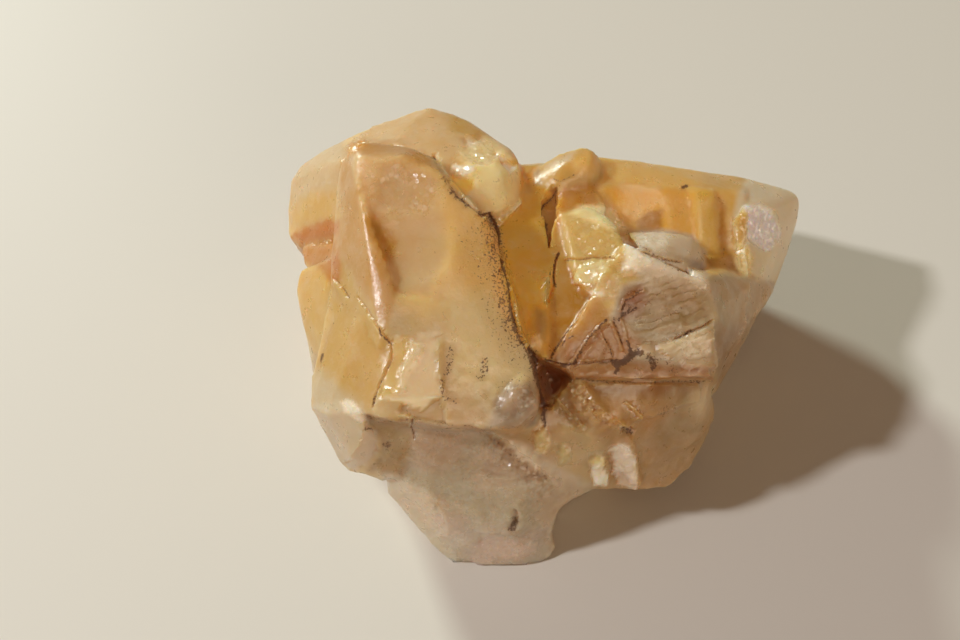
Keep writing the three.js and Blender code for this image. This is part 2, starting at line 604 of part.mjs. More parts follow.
const grown = joined([
  massiveBody(),
  buriedCrystals(),
  frontCrystal(),
  frontCrystalSideFacet(),
  frontCrystalFoot(),
  frontCrystalPlate(),
  frontCrystalFlank(),
  seamLump(),
  topCrystal(),
  upperSlab(),
  slabNeck(),
  lowerSlab(),
  amberCrystal(),
  amberStep(),
  topPebble(),
  longBar(),
  barRidge(),
  rightEnd(),
  rightEndStripe(),
  nookFloor(),
  greyCap(),
  paleBlock(),
  paleLedge(),
  paleSteps(),
  paleSplinters(),
  goldenFacet(),
  goldenFlake(),
  shadedSide(),
  lowerBody(),
  lowerBodyFacets(),
  milkyBase(),
  smallPrism(),
  rustyPatch(),
]);
const lost = joined([
  cavity(),
  amberGap(),
  cracks(),
  pit(),
  baseBreak(),
  backHollows(),
  tableBlock(),
]);
const geometry = geometryOf(grown.subtract(lost));
geometry.computeBoundingBox();
const middle = geometry.boundingBox.getCenter(new THREE.Vector3());

const cluster = new THREE.Mesh(geometry, new THREE.MeshStandardMaterial(QUARTZ));
cluster.name = "quartz_cluster";
cluster.position.set(-middle.x, -middle.y, 0);
const specimen = new THREE.Group();
specimen.add(cluster);

export default specimen;
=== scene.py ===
import math

import bpy
import numpy as np
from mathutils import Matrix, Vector


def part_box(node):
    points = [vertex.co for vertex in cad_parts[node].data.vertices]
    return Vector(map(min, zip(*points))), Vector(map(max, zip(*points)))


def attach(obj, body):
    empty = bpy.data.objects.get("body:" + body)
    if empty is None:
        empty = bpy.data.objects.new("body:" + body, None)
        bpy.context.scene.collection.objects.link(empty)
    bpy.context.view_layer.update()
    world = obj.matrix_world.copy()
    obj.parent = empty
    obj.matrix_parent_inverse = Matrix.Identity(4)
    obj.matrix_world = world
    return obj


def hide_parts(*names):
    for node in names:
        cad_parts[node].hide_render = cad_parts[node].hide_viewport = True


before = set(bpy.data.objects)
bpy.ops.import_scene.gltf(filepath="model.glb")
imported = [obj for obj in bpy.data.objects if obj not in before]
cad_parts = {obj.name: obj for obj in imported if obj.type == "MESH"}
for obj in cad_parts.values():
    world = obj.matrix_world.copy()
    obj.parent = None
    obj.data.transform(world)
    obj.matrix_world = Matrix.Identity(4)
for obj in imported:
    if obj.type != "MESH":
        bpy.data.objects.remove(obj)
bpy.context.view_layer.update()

# Sizes are in millimetres and turns in degrees. The scene itself is in metres.
MM = 0.001
NODE = "quartz_cluster"
# The sight is the line along which the front is seen, from the front and above.
SIGHT_STEEPNESS = 55
EYE_DISTANCE = 96
SIGHT_MIDDLE = np.array([-8.10, -6.887, 22.1])
LENS = 36

steepness = math.radians(SIGHT_STEEPNESS)
SIGHT_RIGHT = np.array([1.0, 0.0, 0.0])
SIGHT_UP = np.array([0.0, math.sin(steepness), math.cos(steepness)])
SIGHT_NEAR = np.array([0.0, -math.cos(steepness), math.sin(steepness)])


def seen_from_eye(points):
    """[right, up, near] of each point, on the plane through the sight's middle."""
    away = points - SIGHT_MIDDLE
    near = away @ SIGHT_NEAR
    spread = (EYE_DISTANCE - near) / EYE_DISTANCE
    return np.stack([away @ SIGHT_RIGHT / spread, away @ SIGHT_UP / spread, near], axis=1)


# Colours of the quartz, among them painted shade and painted glints

# How bright the lamps make a white face, for red, green and blue
LAMP_GAIN = np.array([0.85, 0.8, 0.75])


def seen_colour(red, green, blue):
    """The linear colour of a face that looks like this, from 0 to 255, under the lamps."""
    shares = np.array([red, green, blue]) / 255
    linear = np.where(shares <= 0.04045, shares / 12.92, ((shares + 0.055) / 1.055) ** 2.4)
    return linear / LAMP_GAIN


MILKY_TAN = seen_colour(190, 160, 110)
HONEY_TAN = seen_colour(200, 165, 110)
PALE_TAN = seen_colour(190, 165, 125)
MILKY_HONEY = seen_colour(220, 185, 120)
WARM_TAN = seen_colour(220, 195, 135)
WARM_WHITE = seen_colour(210, 185, 130)
WINDOW_HONEY = seen_colour(210, 180, 110)
PALE_WINDOW = seen_colour(215, 190, 145)
CLEAR_PALE = seen_colour(235, 205, 145)
# Pale broken quartz with painted glints on it
WHITE_WITH_PAINTED_GLINT = seen_colour(230, 210, 180)
# Silvery broken quartz with painted glints on it
SILVER_WITH_PAINTED_GLINT = seen_colour(235, 230, 220)
WHITE = seen_colour(215, 195, 170)
GREY_WHITE = seen_colour(210, 195, 160)
PINK_WHITE = seen_colour(195, 175, 140)
PALE_GREY = seen_colour(200, 180, 150)
BASE_GREY = seen_colour(185, 165, 145)
GREY_PINK = seen_colour(175, 155, 125)
SHADE_GREY = seen_colour(170, 145, 105)
# Painted shade on the base under the front crystal's overhang
OVERHANG_SHADE_GREY = seen_colour(165, 140, 110)
GREY_MILK = seen_colour(155, 130, 100)
CAP_SHADE = seen_colour(155, 135, 110)
# Painted shade on the pale block and the lower body's right, and the rust of the rusty patch
SHADE_AND_RUST_BROWN = seen_colour(155, 125, 80)
SHADE_BROWN = seen_colour(145, 110, 70)
# Painted shade on the ledge
LEDGE_SHADE_PINK = seen_colour(150, 105, 60)
# Painted shadow under the lower edge of the front crystal
EDGE_SHADOW_TAN = seen_colour(120, 90, 55)
HONEY = seen_colour(210, 170, 95)
SLAB_GOLD = seen_colour(195, 155, 80)
YELLOW_GOLD = seen_colour(195, 160, 90)
GOLDEN = seen_colour(185, 145, 70)
BEVEL_BROWN = seen_colour(180, 135, 70)
# Painted shade in the front crystal's hollow and the amber gap, also used on the brow corner
PAINTED_SHADE_BROWN = seen_colour(185, 135, 55)
# Painted deeper shade in the front crystal's hollow
PAINTED_DEEP_SHADE = seen_colour(170, 125, 50)
SEAM_BRIGHT = seen_colour(225, 170, 85)
DEEP_YELLOW = seen_colour(230, 190, 90)
AMBER = seen_colour(215, 165, 65)
AMBER_TOP = seen_colour(225, 165, 65)
AMBER_LIGHT = seen_colour(230, 175, 60)
AMBER_DEEP = seen_colour(235, 180, 45)
AMBER_STEP = seen_colour(185, 130, 45)
# Painted shade on the bar's patch and crease, and a painted glow in the amber step
AMBER_SHADE_AND_GLOW = seen_colour(175, 120, 30)
BAR_RIDGE = seen_colour(205, 165, 75)
# Painted shade in the nook between the bar and the shaded side
NOOK_SHADE_ORANGE = seen_colour(150, 100, 35)
RUST_YELLOW = seen_colour(175, 115, 30)
RUST_ORANGE = seen_colour(175, 105, 15)
STAIN_TAN = seen_colour(135, 75, 15)
FIBRE_TAN = seen_colour(160, 105, 45)
# Painted shade in the deep cavity
CAVITY_SHADE_BROWN = seen_colour(120, 65, 10)
BODY_BROWN = seen_colour(175, 135, 80)
BODY_HONEY = seen_colour(170, 125, 65)
# Painted shadow under the ledge, on the lower body
LEDGE_SHADOW_AMBER = seen_colour(125, 75, 20)

# Zones of the seen side, with places as [right, up] from the sight's middle

# Outlines and a line that several tables use
BRIGHT_TILE = (
    (12.9, -12.8), (14, -12.4), (15, -12.6), (15.7, -14.2), (15.8, -15.8), (15.6, -17.1), (14, -16.4),
    (13.4, -15.4), (13.3, -13.8),
)
SMALL_TILE = (
    (11.1, -14.4), (11.8, -14.3), (12.9, -15.6), (12.8, -16.6), (11.4, -16.5),
)
PRISM_SIDE = (
    (-11.4, -10.4), (-10.4, -11.2), (-10.2, -13.2), (-11.2, -14.4), (-12.8, -15.4), (-14.2, -14.8),
    (-13, -14), (-11.8, -12.2),
)
PATCH_LINE = (
    (-6.7, -10), (-6.9, -10.7), (-6.6, -11.8),
)

# Colours: colour, softness of the edge, outline
COLOUR_ZONES = (
    # Front crystal
    (MILKY_TAN, 0.5, ((-14.4, 17), (-11.5, 18.4), (-6.8, 18), (-4, 16.2), (-1, 11.3), (1, 10.4), (2.2, 7),
        (3.4, 0), (5.7, -3.5), (6.7, -10), (2, -11.2), (-10.5, -10), (-16.9, -9.2), (-16.7, -5.5), (-15, 2),
        (-14.2, 7))),
    # Front crystal upper middle
    (MILKY_HONEY, 2.0, ((-6, 12), (-1, 10), (1.5, 5), (1.5, 1), (-6, 0), (-8.5, 2))),
    # Lower left facet
    (GOLDEN, 0.8, ((-16.4, -2.5), (-15.4, 5.2), (-14.2, 6.8), (-11.8, 3), (-8.8, -2.3), (-9.4, -6.5),
        (-10.8, -9.2), (-16.7, -8.5))),
    # Lower left facet rim
    (PALE_TAN, 1.0, ((-16.9, -5.2), (-15.4, -5.2), (-14.2, -7), (-12.8, -7.8), (-11.2, -9.4),
        (-16.9, -9.6))),
    # Left strip
    (BEVEL_BROWN, 0.3, ((-14.2, 15.7), (-12.8, 16), (-12.2, 12), (-11.6, 9.2), (-11.1, 7.4), (-9.4, 5.8),
        (-8.3, 2.8), (-9.5, -1), (-11.8, 3), (-14.2, 7))),
    # Hollow
    (HONEY_TAN, 0.5, ((-12.4, 16.2), (-8, 17.2), (-4.6, 16), (-3.4, 12), (-3.2, 7), (-5.5, 2.8), (-8, 3),
        (-9.4, 5.8), (-11.1, 7.4), (-12, 11.2))),
    # Hollow shade
    (PAINTED_SHADE_BROWN, 0.5, ((-11.8, 10.8), (-10.2, 10.5), (-9.4, 9.4), (-8.2, 8), (-8.4, 5.8), (-9.6, 5.8),
        (-11.1, 7.4))),
    # Hollow deep shade
    (PAINTED_DEEP_SHADE, 0.3, ((-11.7, 10.4), (-10.6, 10.1), (-9.6, 9.2), (-10, 8), (-11.2, 7.8))),
    # Brow
    (BEVEL_BROWN, 0.5, ((-13.7, 16.8), (-13, 17.7), (-11.6, 18.1), (-8, 17.7), (-5.5, 17), (-3.8, 14.8),
        (-5.5, 15.2), (-8, 16.2), (-11.4, 16.4), (-12.8, 16.7), (-13.6, 15.4))),
    # Brow corner, in the painted shade colour of the hollow
    (PAINTED_SHADE_BROWN, 0.25, ((-13.6, 16.7), (-13, 17.7), (-11.8, 18.1), (-11.3, 17.5), (-12, 16.9),
        (-12.9, 16.7))),
    # Seam side
    (HONEY, 1.2, ((-4, 14.8), (-1, 11.2), (1.2, 9.8), (2.5, 5.8), (3.4, 0.5), (2, -0.5), (-1, 2),
        (-3, 5.8), (-4, 10.5))),
    # Seam edge
    (SEAM_BRIGHT, 0.5, ((-1.2, 11.5), (0.4, 10.6), (1.9, 7.5), (2.4, 4), (3.2, 0.5), (4.2, -2.2), (3.4, -2),
        (2, 1.5), (1.2, 5.8), (0.4, 8.8))),
    # Whiter foot
    (WARM_WHITE, 2.0, ((-3.5, 2), (1, 2), (3.8, -2.5), (5, -6.5), (4, -8), (-2, -7), (-3.8, -3))),
    # Window left
    (WINDOW_HONEY, 0.12, ((-8.8, -1.8), (-7, -1.5), (-7.1, -3), (-8.2, -5.2), (-8.2, -7.8), (-10.1, -7.8),
        (-9.7, -5.6), (-8.8, -4))),
    # Pale window
    (PALE_WINDOW, 0.12, ((-7, -1.6), (-4, -1.5), (-4.6, -3.2), (-4.3, -5.4), (-3.8, -7.7), (-4.8, -8.2),
        (-5.6, -9.1), (-8, -8.2), (-10.1, -7.8), (-8.2, -7.2), (-8.2, -5.2), (-7.1, -3))),
    # Foot bevel
    (MILKY_TAN, 0.3, ((-10.4, -7.9), (-8, -8.3), (-5.6, -9.1), (-4.8, -8.2), (-3.8, -7.9), (-3.4, -10.4),
        (-6.8, -9.8), (-11.1, -9.4))),
    # Foot under edge, painted shadow under the front crystal's lower edge
    (EDGE_SHADOW_TAN, 0.4, ((-11.2, -9.6), (-8.8, -10.1), (-6.5, -9.9), (-2.8, -10.7), (1, -10.8), (1, -11.4),
        (-3, -11.2), (-7, -10.5), (-11, -10.4))),
    # Grey lump
    (GREY_MILK, 0.5, ((0.6, -10.8), (1.4, -8.2), (2.8, -6.4), (5.2, -6), (6, -8.2), (5.8, -10.4),
        (3, -11.2))),
    # Top crystal
    (HONEY_TAN, 0.3, ((-12.8, 18), (-11.5, 19.2), (-8, 20.8), (-5, 21.6), (-2.5, 21), (0.2, 19.6),
        (2.3, 18.2), (4.4, 16.3), (4.4, 11.5), (3, 10.7), (1.7, 9.8), (-1, 11.5), (-3.4, 14.5),
        (-4.4, 16.4), (-6.8, 17.7), (-11.5, 18.3))),
    # Top crystal amber
    (GOLDEN, 0.7, ((-3.1, 20.6), (-2.2, 20.8), (-0.2, 19.6), (0.6, 18.6), (-1, 17.8), (-2.8, 18.6))),
    # Top crystal right
    (CLEAR_PALE, 0.8, ((-1.8, 17), (2, 17.4), (3.8, 15.4), (3.9, 12.2), (1.8, 10.2), (-0.6, 12),
        (-1.8, 14.5))),
    # Top crystal glitter: pale broken quartz with a painted glint
    (WHITE_WITH_PAINTED_GLINT, 0.4, ((-1.4, 18.2), (0.2, 18), (1.4, 16.8), (1, 15.8), (0, 16), (-0.4, 17.2),
        (-1.2, 17.4))),
    # Top crystal grey
    (WARM_WHITE, 0.5, ((-2, 17.4), (0, 18.2), (2, 17.8), (1.8, 16.4), (0.4, 15.6), (-1.8, 16.2))),
    # Top crystal ledge: pale broken quartz with a painted glint
    (WHITE_WITH_PAINTED_GLINT, 0.12, ((-2.8, 15.5), (-1.8, 15.3), (-0.6, 15.4), (-0.6, 14.8), (-1.8, 14.5),
        (-2.7, 14.9))),
    # Yellow window
    (DEEP_YELLOW, 0.12, ((-3, 14.6), (-1.9, 14.2), (-0.7, 14.2), (-0.7, 13.2), (-1.3, 12.5), (-2, 13),
        (-2.8, 13.8))),
    # Bright facet: pale broken quartz with a painted glint
    (WHITE_WITH_PAINTED_GLINT, 0.1, ((1.8, 16.8), (2.7, 16.2), (3.6, 15.4), (3.1, 15), (2.3, 15.7))),
    # Top crystal rim, a painted glint
    (WARM_WHITE, 0.15, ((1.6, 9.7), (1.8, 10.2), (2.8, 11), (3.9, 12.1), (4, 11.7), (3, 10.6), (1.9, 9.6))),
    # Upper slab
    (MILKY_TAN, 0.4, ((-19.2, 16), (-13.4, 18.4), (-14, 15.5), (-14.3, 9.5), (-19.2, 9.4))),
    # Upper slab honey
    (SLAB_GOLD, 0.8, ((-19, 11.4), (-17.4, 12.4), (-15.8, 13), (-14.2, 13), (-14.2, 9.6), (-16.2, 9.8),
        (-19, 9.2))),
    # Upper slab rust
    (RUST_ORANGE, 0.4, ((-18.9, 8.4), (-18, 9.2), (-16.8, 9.6), (-15.2, 10.1), (-14.2, 9.9), (-14.2, 8.4),
        (-15.4, 8.2), (-16.8, 7.6), (-18, 7.4))),
    # Neck
    (RUST_YELLOW, 0.6, ((-18.2, 7.4), (-16.8, 7.6), (-14.2, 8.3), (-14.2, 6.4), (-15, 4), (-16, 4.8),
        (-18, 5.6))),
    # Neck deep
    (RUST_ORANGE, 0.5, ((-15, 6.2), (-14.2, 6.8), (-13.8, 5.4), (-14, 3.8), (-15, 4))),
    # Lower slab
    (SLAB_GOLD, 0.4, ((-18.4, 5.6), (-16.8, 5.4), (-15, 3.8), (-15.2, 1), (-14.6, 0.2), (-15.8, -1.5),
        (-16.2, -4), (-17.8, -1))),
    # Amber crystal
    (AMBER, 0.3, ((1.7, 16), (6.5, 16.2), (7.2, 12), (7.6, 5.8), (7, 0), (6.6, -4.4), (5.2, -3.2), (3.5, 0),
        (2.5, 5.8), (1.7, 9.8), (4.1, 11.5), (4.1, 15.5))),
    # Amber top
    (AMBER_TOP, 0.5, ((4.1, 15.6), (5.8, 15.6), (5.6, 14), (4.1, 13.2))),
    # Amber deep left
    (AMBER_DEEP, 0.5, ((2, 8.8), (3, 5.8), (3.8, 2), (3.4, 0.8), (2.5, 4.5))),
    # Amber light
    (AMBER_LIGHT, 1.2, ((3.8, 3), (7, 4.8), (7.3, -0.5), (5.8, -3), (4.2, -0.5))),
    # Amber blush
    (BEVEL_BROWN, 0.5, ((5.4, 1.2), (6.5, 0.8), (6.6, -0.6), (6, -2.2), (5.2, -1.4))),
    # Amber streak
    (GOLDEN, 0.15, ((6.4, 4), (6.8, 4.2), (7, 3.2), (6.7, 1.4), (6.4, 1.6))),
    # Amber step
    (AMBER_STEP, 0.4, ((7.6, 14), (12, 14.2), (13.4, 10.5), (9, 10.5), (8, 8), (9.5, 4.5), (11.8, 2),
        (13.2, 0.2), (9.5, -4.2), (6.6, -4.4), (6.9, 0), (7.5, 5.8), (7.1, 11.5))),
    # Amber step light
    (HONEY, 0.5, ((11.8, 14), (12.8, 14.2), (13.4, 11.5), (12.8, 10.4), (11.8, 12))),
    # Step glow
    (AMBER_SHADE_AND_GLOW, 1.0, ((7.6, 2.8), (10, 3), (12.6, 0.8), (9.5, -2.5), (7.2, -2.5))),
    # Amber gap, painted shade in the gap
    (PAINTED_SHADE_BROWN, 0.12, ((7, 13), (7.6, 13.1), (7.7, 12.4), (7.4, 11.3), (7.4, 10.4), (7, 8.8), (6.9, 7.5),
        (6.7, 9.2), (6.6, 10.3), (6.3, 11.3), (6.5, 12.1))),
    # Pebble
    (GOLDEN, 0.3, ((5.4, 14.8), (6.5, 16), (8.2, 16.9), (10.2, 17.4), (12.2, 17), (12.6, 15.5),
        (12.2, 14), (10, 13.4), (7.6, 13), (6, 13.4))),
    # Pebble face
    (PALE_TAN, 0.4, ((6.6, 15.4), (8, 16.4), (9.4, 17), (9.2, 16), (8, 15.4), (7.2, 14.8))),
    # Pebble amber
    (HONEY, 0.5, ((9, 15.2), (10.6, 17), (12, 16.4), (12.2, 15.2), (11, 14.4), (9.4, 14.6))),
    # Bar top
    (HONEY, 0.4, ((12, 16.4), (18, 15.7), (27.7, 14.2), (26.2, 12.4), (22, 12.8), (17, 13), (12.8, 13.3))),
    # Bar top right
    (SLAB_GOLD, 0.8, ((22.2, 15), (27.7, 14.2), (26.2, 13), (22.4, 13.2))),
    # Bar face
    (AMBER, 0.4, ((12.4, 13.1), (17.2, 12.9), (22.5, 12.8), (22.8, 5.8), (16, 8.6), (13.2, 10.8))),
    # Bar face left
    (AMBER_LIGHT, 1.0, ((12.4, 12.8), (14.8, 12.8), (15.2, 10), (13.6, 10.6))),
    # Bar shade
    (AMBER_SHADE_AND_GLOW, 0.25, ((15.6, 9.8), (16.8, 10.8), (18.2, 11), (18.3, 8.8), (16, 8.6))),
    # Bar ridge
    (BAR_RIDGE, 0.4, ((21.6, 13), (23.4, 13), (23.8, 8), (24, 5.8), (22, 7))),
    # Bar crease, painted shade in the crease
    (AMBER_SHADE_AND_GLOW, 0.4, ((23.8, 12.4), (24.6, 11.4), (24.8, 9), (25, 6.2), (24, 6.2))),
    # Bar right
    (BAR_RIDGE, 0.5, ((24.8, 12.4), (26, 12.2), (25.8, 9), (26, 6.2), (25, 6.2))),
    # Nook, painted shade in the recess between the bar and the side
    (NOOK_SHADE_ORANGE, 0.3, ((22.6, 6), (25, 6.6), (26.2, 5.8), (27.2, 4.6), (25.8, 4.8), (23.2, 5.2))),
    # Right end
    (GREY_WHITE, 0.4, ((26.8, 14.2), (30, 13.6), (32.4, 12.6), (32, 9), (30.5, 5.5), (28.8, 3), (26.5, 5),
        (25.2, 8.8), (25.6, 11.5))),
    # Right end glitter: silvery broken faces with painted glints
    (SILVER_WITH_PAINTED_GLINT, 0.3, ((26.5, 11.2), (27.8, 11.6), (29.4, 10.8), (30, 9.4), (29.6, 7.8), (28.4, 7), (27, 8),
        (26.4, 9.6))),
    # Right end rim
    (GOLDEN, 0.25, ((25.4, 10), (26.4, 11.2), (26.8, 10.4), (26.6, 8.4), (26.2, 7), (25.6, 6.4),
        (25.6, 8.8))),
    # Right end foot
    (WARM_TAN, 0.3, ((25.5, 7.6), (26.6, 7.4), (27.4, 6.4), (27.2, 4), (26.4, 4.4), (25.6, 5.8))),
    # Grey cap
    (PALE_GREY, 0.3, ((14.4, 8.9), (18, 9), (21.2, 8.6), (22.8, 7), (22.6, 4.6), (20.5, 5.2), (17.5, 6.2),
        (15.2, 7.4))),
    # Grey cap shade
    (CAP_SHADE, 0.4, ((16, 7.4), (18.4, 6.4), (21.2, 6), (22.2, 6.4), (22.6, 4.6), (21, 5), (18.2, 5.8),
        (16, 6.6))),
    # Golden facet
    (YELLOW_GOLD, 0.3, ((7.7, 10.5), (10.2, 11.3), (13.2, 10.8), (15.2, 8.8), (15.6, 7), (14.5, 3.5),
        (12.4, 1.8), (10.6, 2.8), (9.2, 5.2), (8.1, 8))),
    # Golden facet top
    (CLEAR_PALE, 0.3, ((8.8, 10.6), (10.4, 11.4), (12, 11.6), (13.6, 10.8), (14.6, 9), (13.2, 9.2),
        (11, 10))),
    # Golden facet low, a painted glint
    (WARM_WHITE, 0.25, ((9.4, 3.8), (9.8, 5), (10.8, 5.8), (12.4, 5.8), (12.8, 5), (12, 4),
        (10.6, 3.6))),
    # Golden tail
    (HONEY_TAN, 0.3, ((10.6, 3.4), (12.4, 4.4), (14.2, 4.8), (14.6, 3.8), (13.2, 2.2), (11.6, 2.4))),
    # Golden glint
    (WHITE_WITH_PAINTED_GLINT, 0.1, ((10.6, 3), (11.8, 2.8), (12.2, 3), (12.1, 2.4), (11.2, 2.5))),
    # Pale block
    (PINK_WHITE, 0.3, ((14.8, 8), (17.2, 6.8), (21, 5.6), (23.2, 4.2), (23.8, 1.5), (23.3, -5.8),
        (6.8, -4.4), (9.4, -2.5), (12.6, -0.6), (13.6, 3))),
    # Pale block brow
    (WHITE, 0.5, ((16.2, 7), (18, 5.8), (21, 5), (23.4, 3.5), (23.2, 2.4), (21.6, 3.6), (18.4, 4.8),
        (16.4, 5.6))),
    # Pale block corner: pale broken quartz with a painted glint
    (WHITE_WITH_PAINTED_GLINT, 0.2, ((14.4, 7.8), (15.2, 7.4), (16.8, 6.2), (17.2, 5.6), (15.6, 5), (14.4, 4.6))),
    # Pale block shade
    (SHADE_AND_RUST_BROWN, 1.5, ((16, 3.5), (19.2, 4.2), (22.6, 2.8), (23, 1), (21, -1), (17, -2.5), (14.8, -2),
        (14.6, 1))),
    # Pale block lower plate
    (PALE_TAN, 0.3, ((18, -2.4), (20, -1.8), (23.4, -0.6), (23.4, -4.6), (21, -4.8), (18, -3.2))),
    # Pale block rust
    (YELLOW_GOLD, 0.4, ((13.8, 4.8), (15.4, 5), (16, 4.2), (14.6, 3.6), (13.8, 3))),
    # Pale block stain
    (STAIN_TAN, 0.7, ((13.6, 2), (14.2, 3), (16, 3.6), (16.8, 2), (15.6, 0.2), (13.8, -0.6))),
    # Pale block fibres
    (FIBRE_TAN, 0.8, ((7.2, -4.2), (8.6, -2), (11, -0.8), (13.6, 0.2), (16, -2.5), (14.5, -4.4))),
    # Ledge, painted shade along it
    (LEDGE_SHADE_PINK, 0.3, ((6.6, -4.2), (16, -4.2), (23.2, -4.6), (23.3, -6), (9.6, -5.9))),
    # Shaded side
    (SHADE_GREY, 0.4, ((22.6, 4.4), (25, 4.8), (29.8, 3.6), (28.4, 0.5), (26.2, -4.8), (23.6, -8.2),
        (23.3, -6), (23.9, 1.5))),
    # Shaded side low
    (SHADE_BROWN, 1.5, ((23.6, -1), (26.5, 0), (26.2, -4.8), (23.6, -8.2), (23.3, -6))),
    # Cavity, painted shade in the deep hole
    (CAVITY_SHADE_BROWN, 0.3, ((5, -3), (6.6, -4.2), (8.8, -5.2), (9.4, -5.9), (8, -6.8), (7, -8.4), (6.6, -10.8),
        (6.1, -9))),
    # Lower body
    (BODY_BROWN, 0.4, ((9.2, -6), (23.6, -6.1), (23.8, -11), (22, -14.2), (18.8, -17.2), (10.5, -17.4),
        (5, -14.4), (1.2, -11.2), (6.5, -10.6), (7.6, -7.6))),
    # Lower body brow, painted shadow under the ledge
    (LEDGE_SHADOW_AMBER, 0.6, ((10.5, -6.4), (22, -6.3), (22.2, -7.6), (18, -8.2), (12, -8))),
    # Lower body middle
    (BODY_HONEY, 1.5, ((12, -7.2), (17, -7.2), (21, -8), (19, -12), (13, -12), (9.5, -9.5))),
    # Lower body right, painted shade
    (SHADE_AND_RUST_BROWN, 1.5, ((19.2, -7), (23.6, -6.4), (23.6, -12), (21, -15.5), (17, -16.8), (17, -13))),
    # Lower body far right
    (PALE_TAN, 1.0, ((21, -7), (23.2, -6.6), (23.4, -9), (22, -10), (20.8, -9))),
    # Lower body low
    (MILKY_TAN, 1.0, ((8, -10.5), (11, -10.5), (12.6, -13), (12, -16.6), (8, -15.4), (6.8, -13))),
    # Lower body yellow, a painted glint
    (WARM_WHITE, 0.25, ((5.5, -11.6), (6.5, -10.8), (7, -12.4), (6.6, -13.6), (5.6, -13.2))),
    # Lower body glint
    (WARM_WHITE, 0.15, ((8, -13.6), (8.3, -12.6), (9, -13.2), (8.6, -14), (8, -14.4))),
    # Lower body foot glint
    (CLEAR_PALE, 0.15, ((11, -14.2), (11.6, -13.6), (12.4, -13.8), (12.4, -14.6), (11.4, -14.8))),
    # Bright tile: white broken quartz with a painted glint
    (WHITE, 0.12, BRIGHT_TILE),
    # Small tile: pale broken quartz with a painted glint
    (WHITE_WITH_PAINTED_GLINT, 0.1, SMALL_TILE),
    # Milky base
    (GREY_PINK, 0.4, ((-10.8, -10.4), (-5, -10.4), (1, -11.2), (3.5, -14), (7.8, -15.6), (11.6, -17.2),
        (8.2, -19), (7.6, -24), (5, -25.4), (-2.5, -25.2), (-9.6, -17.2), (-10, -15), (-7.5, -15.4))),
    # Base upper, painted shade under the front crystal's overhang
    (OVERHANG_SHADE_GREY, 1.5, ((-7, -10.4), (1, -11), (4, -14), (2, -16), (-5, -15), (-7.5, -13))),
    # Base left face
    (PALE_GREY, 0.4, ((-9.6, -15.8), (-7.8, -16), (-5.5, -17.2), (-4.4, -18.8), (-3.2, -21), (-2.2, -25.2),
        (-6.5, -22), (-9.4, -18))),
    # Base low
    (BASE_GREY, 2.0, ((-4, -20), (2, -21), (6.8, -21), (6.5, -24.5), (-1, -25.2))),
    # Base ridge
    (PALE_GREY, 0.5, ((1.8, -11.6), (4, -12.4), (8, -14.6), (11.2, -16.6), (9.6, -16.6), (6, -15),
        (3.2, -13.8))),
    # Base band
    (GREY_MILK, 0.4, ((0, -11.2), (1.6, -11.8), (4, -14.2), (6, -15.4), (4.8, -16.2), (2.8, -15),
        (0.8, -12.8))),
    # Small prism
    (PINK_WHITE, 0.3, ((-17.1, -8.4), (-13.5, -8.2), (-11.2, -9.8), (-11.8, -12.5), (-13.2, -15.4),
        (-14.5, -14), (-16.2, -11.2))),
    # Small prism side
    (PALE_GREY, 0.15, PRISM_SIDE),
    # Prism top: pale broken quartz with a painted glint
    (WHITE_WITH_PAINTED_GLINT, 0.15, ((-14, -8.2), (-12.8, -8), (-11.4, -9.8), (-11.8, -10.4), (-12.8, -9.6),
        (-13.6, -9.2))),
    # Rusty patch
    (SHADE_AND_RUST_BROWN, 0.4, ((-11.4, -9.8), (-6.8, -10), (-6.8, -12), (-7.2, -13.8), (-8, -15.6), (-11.2, -15.2),
        (-10.2, -13.5), (-10.2, -11.2))),
)
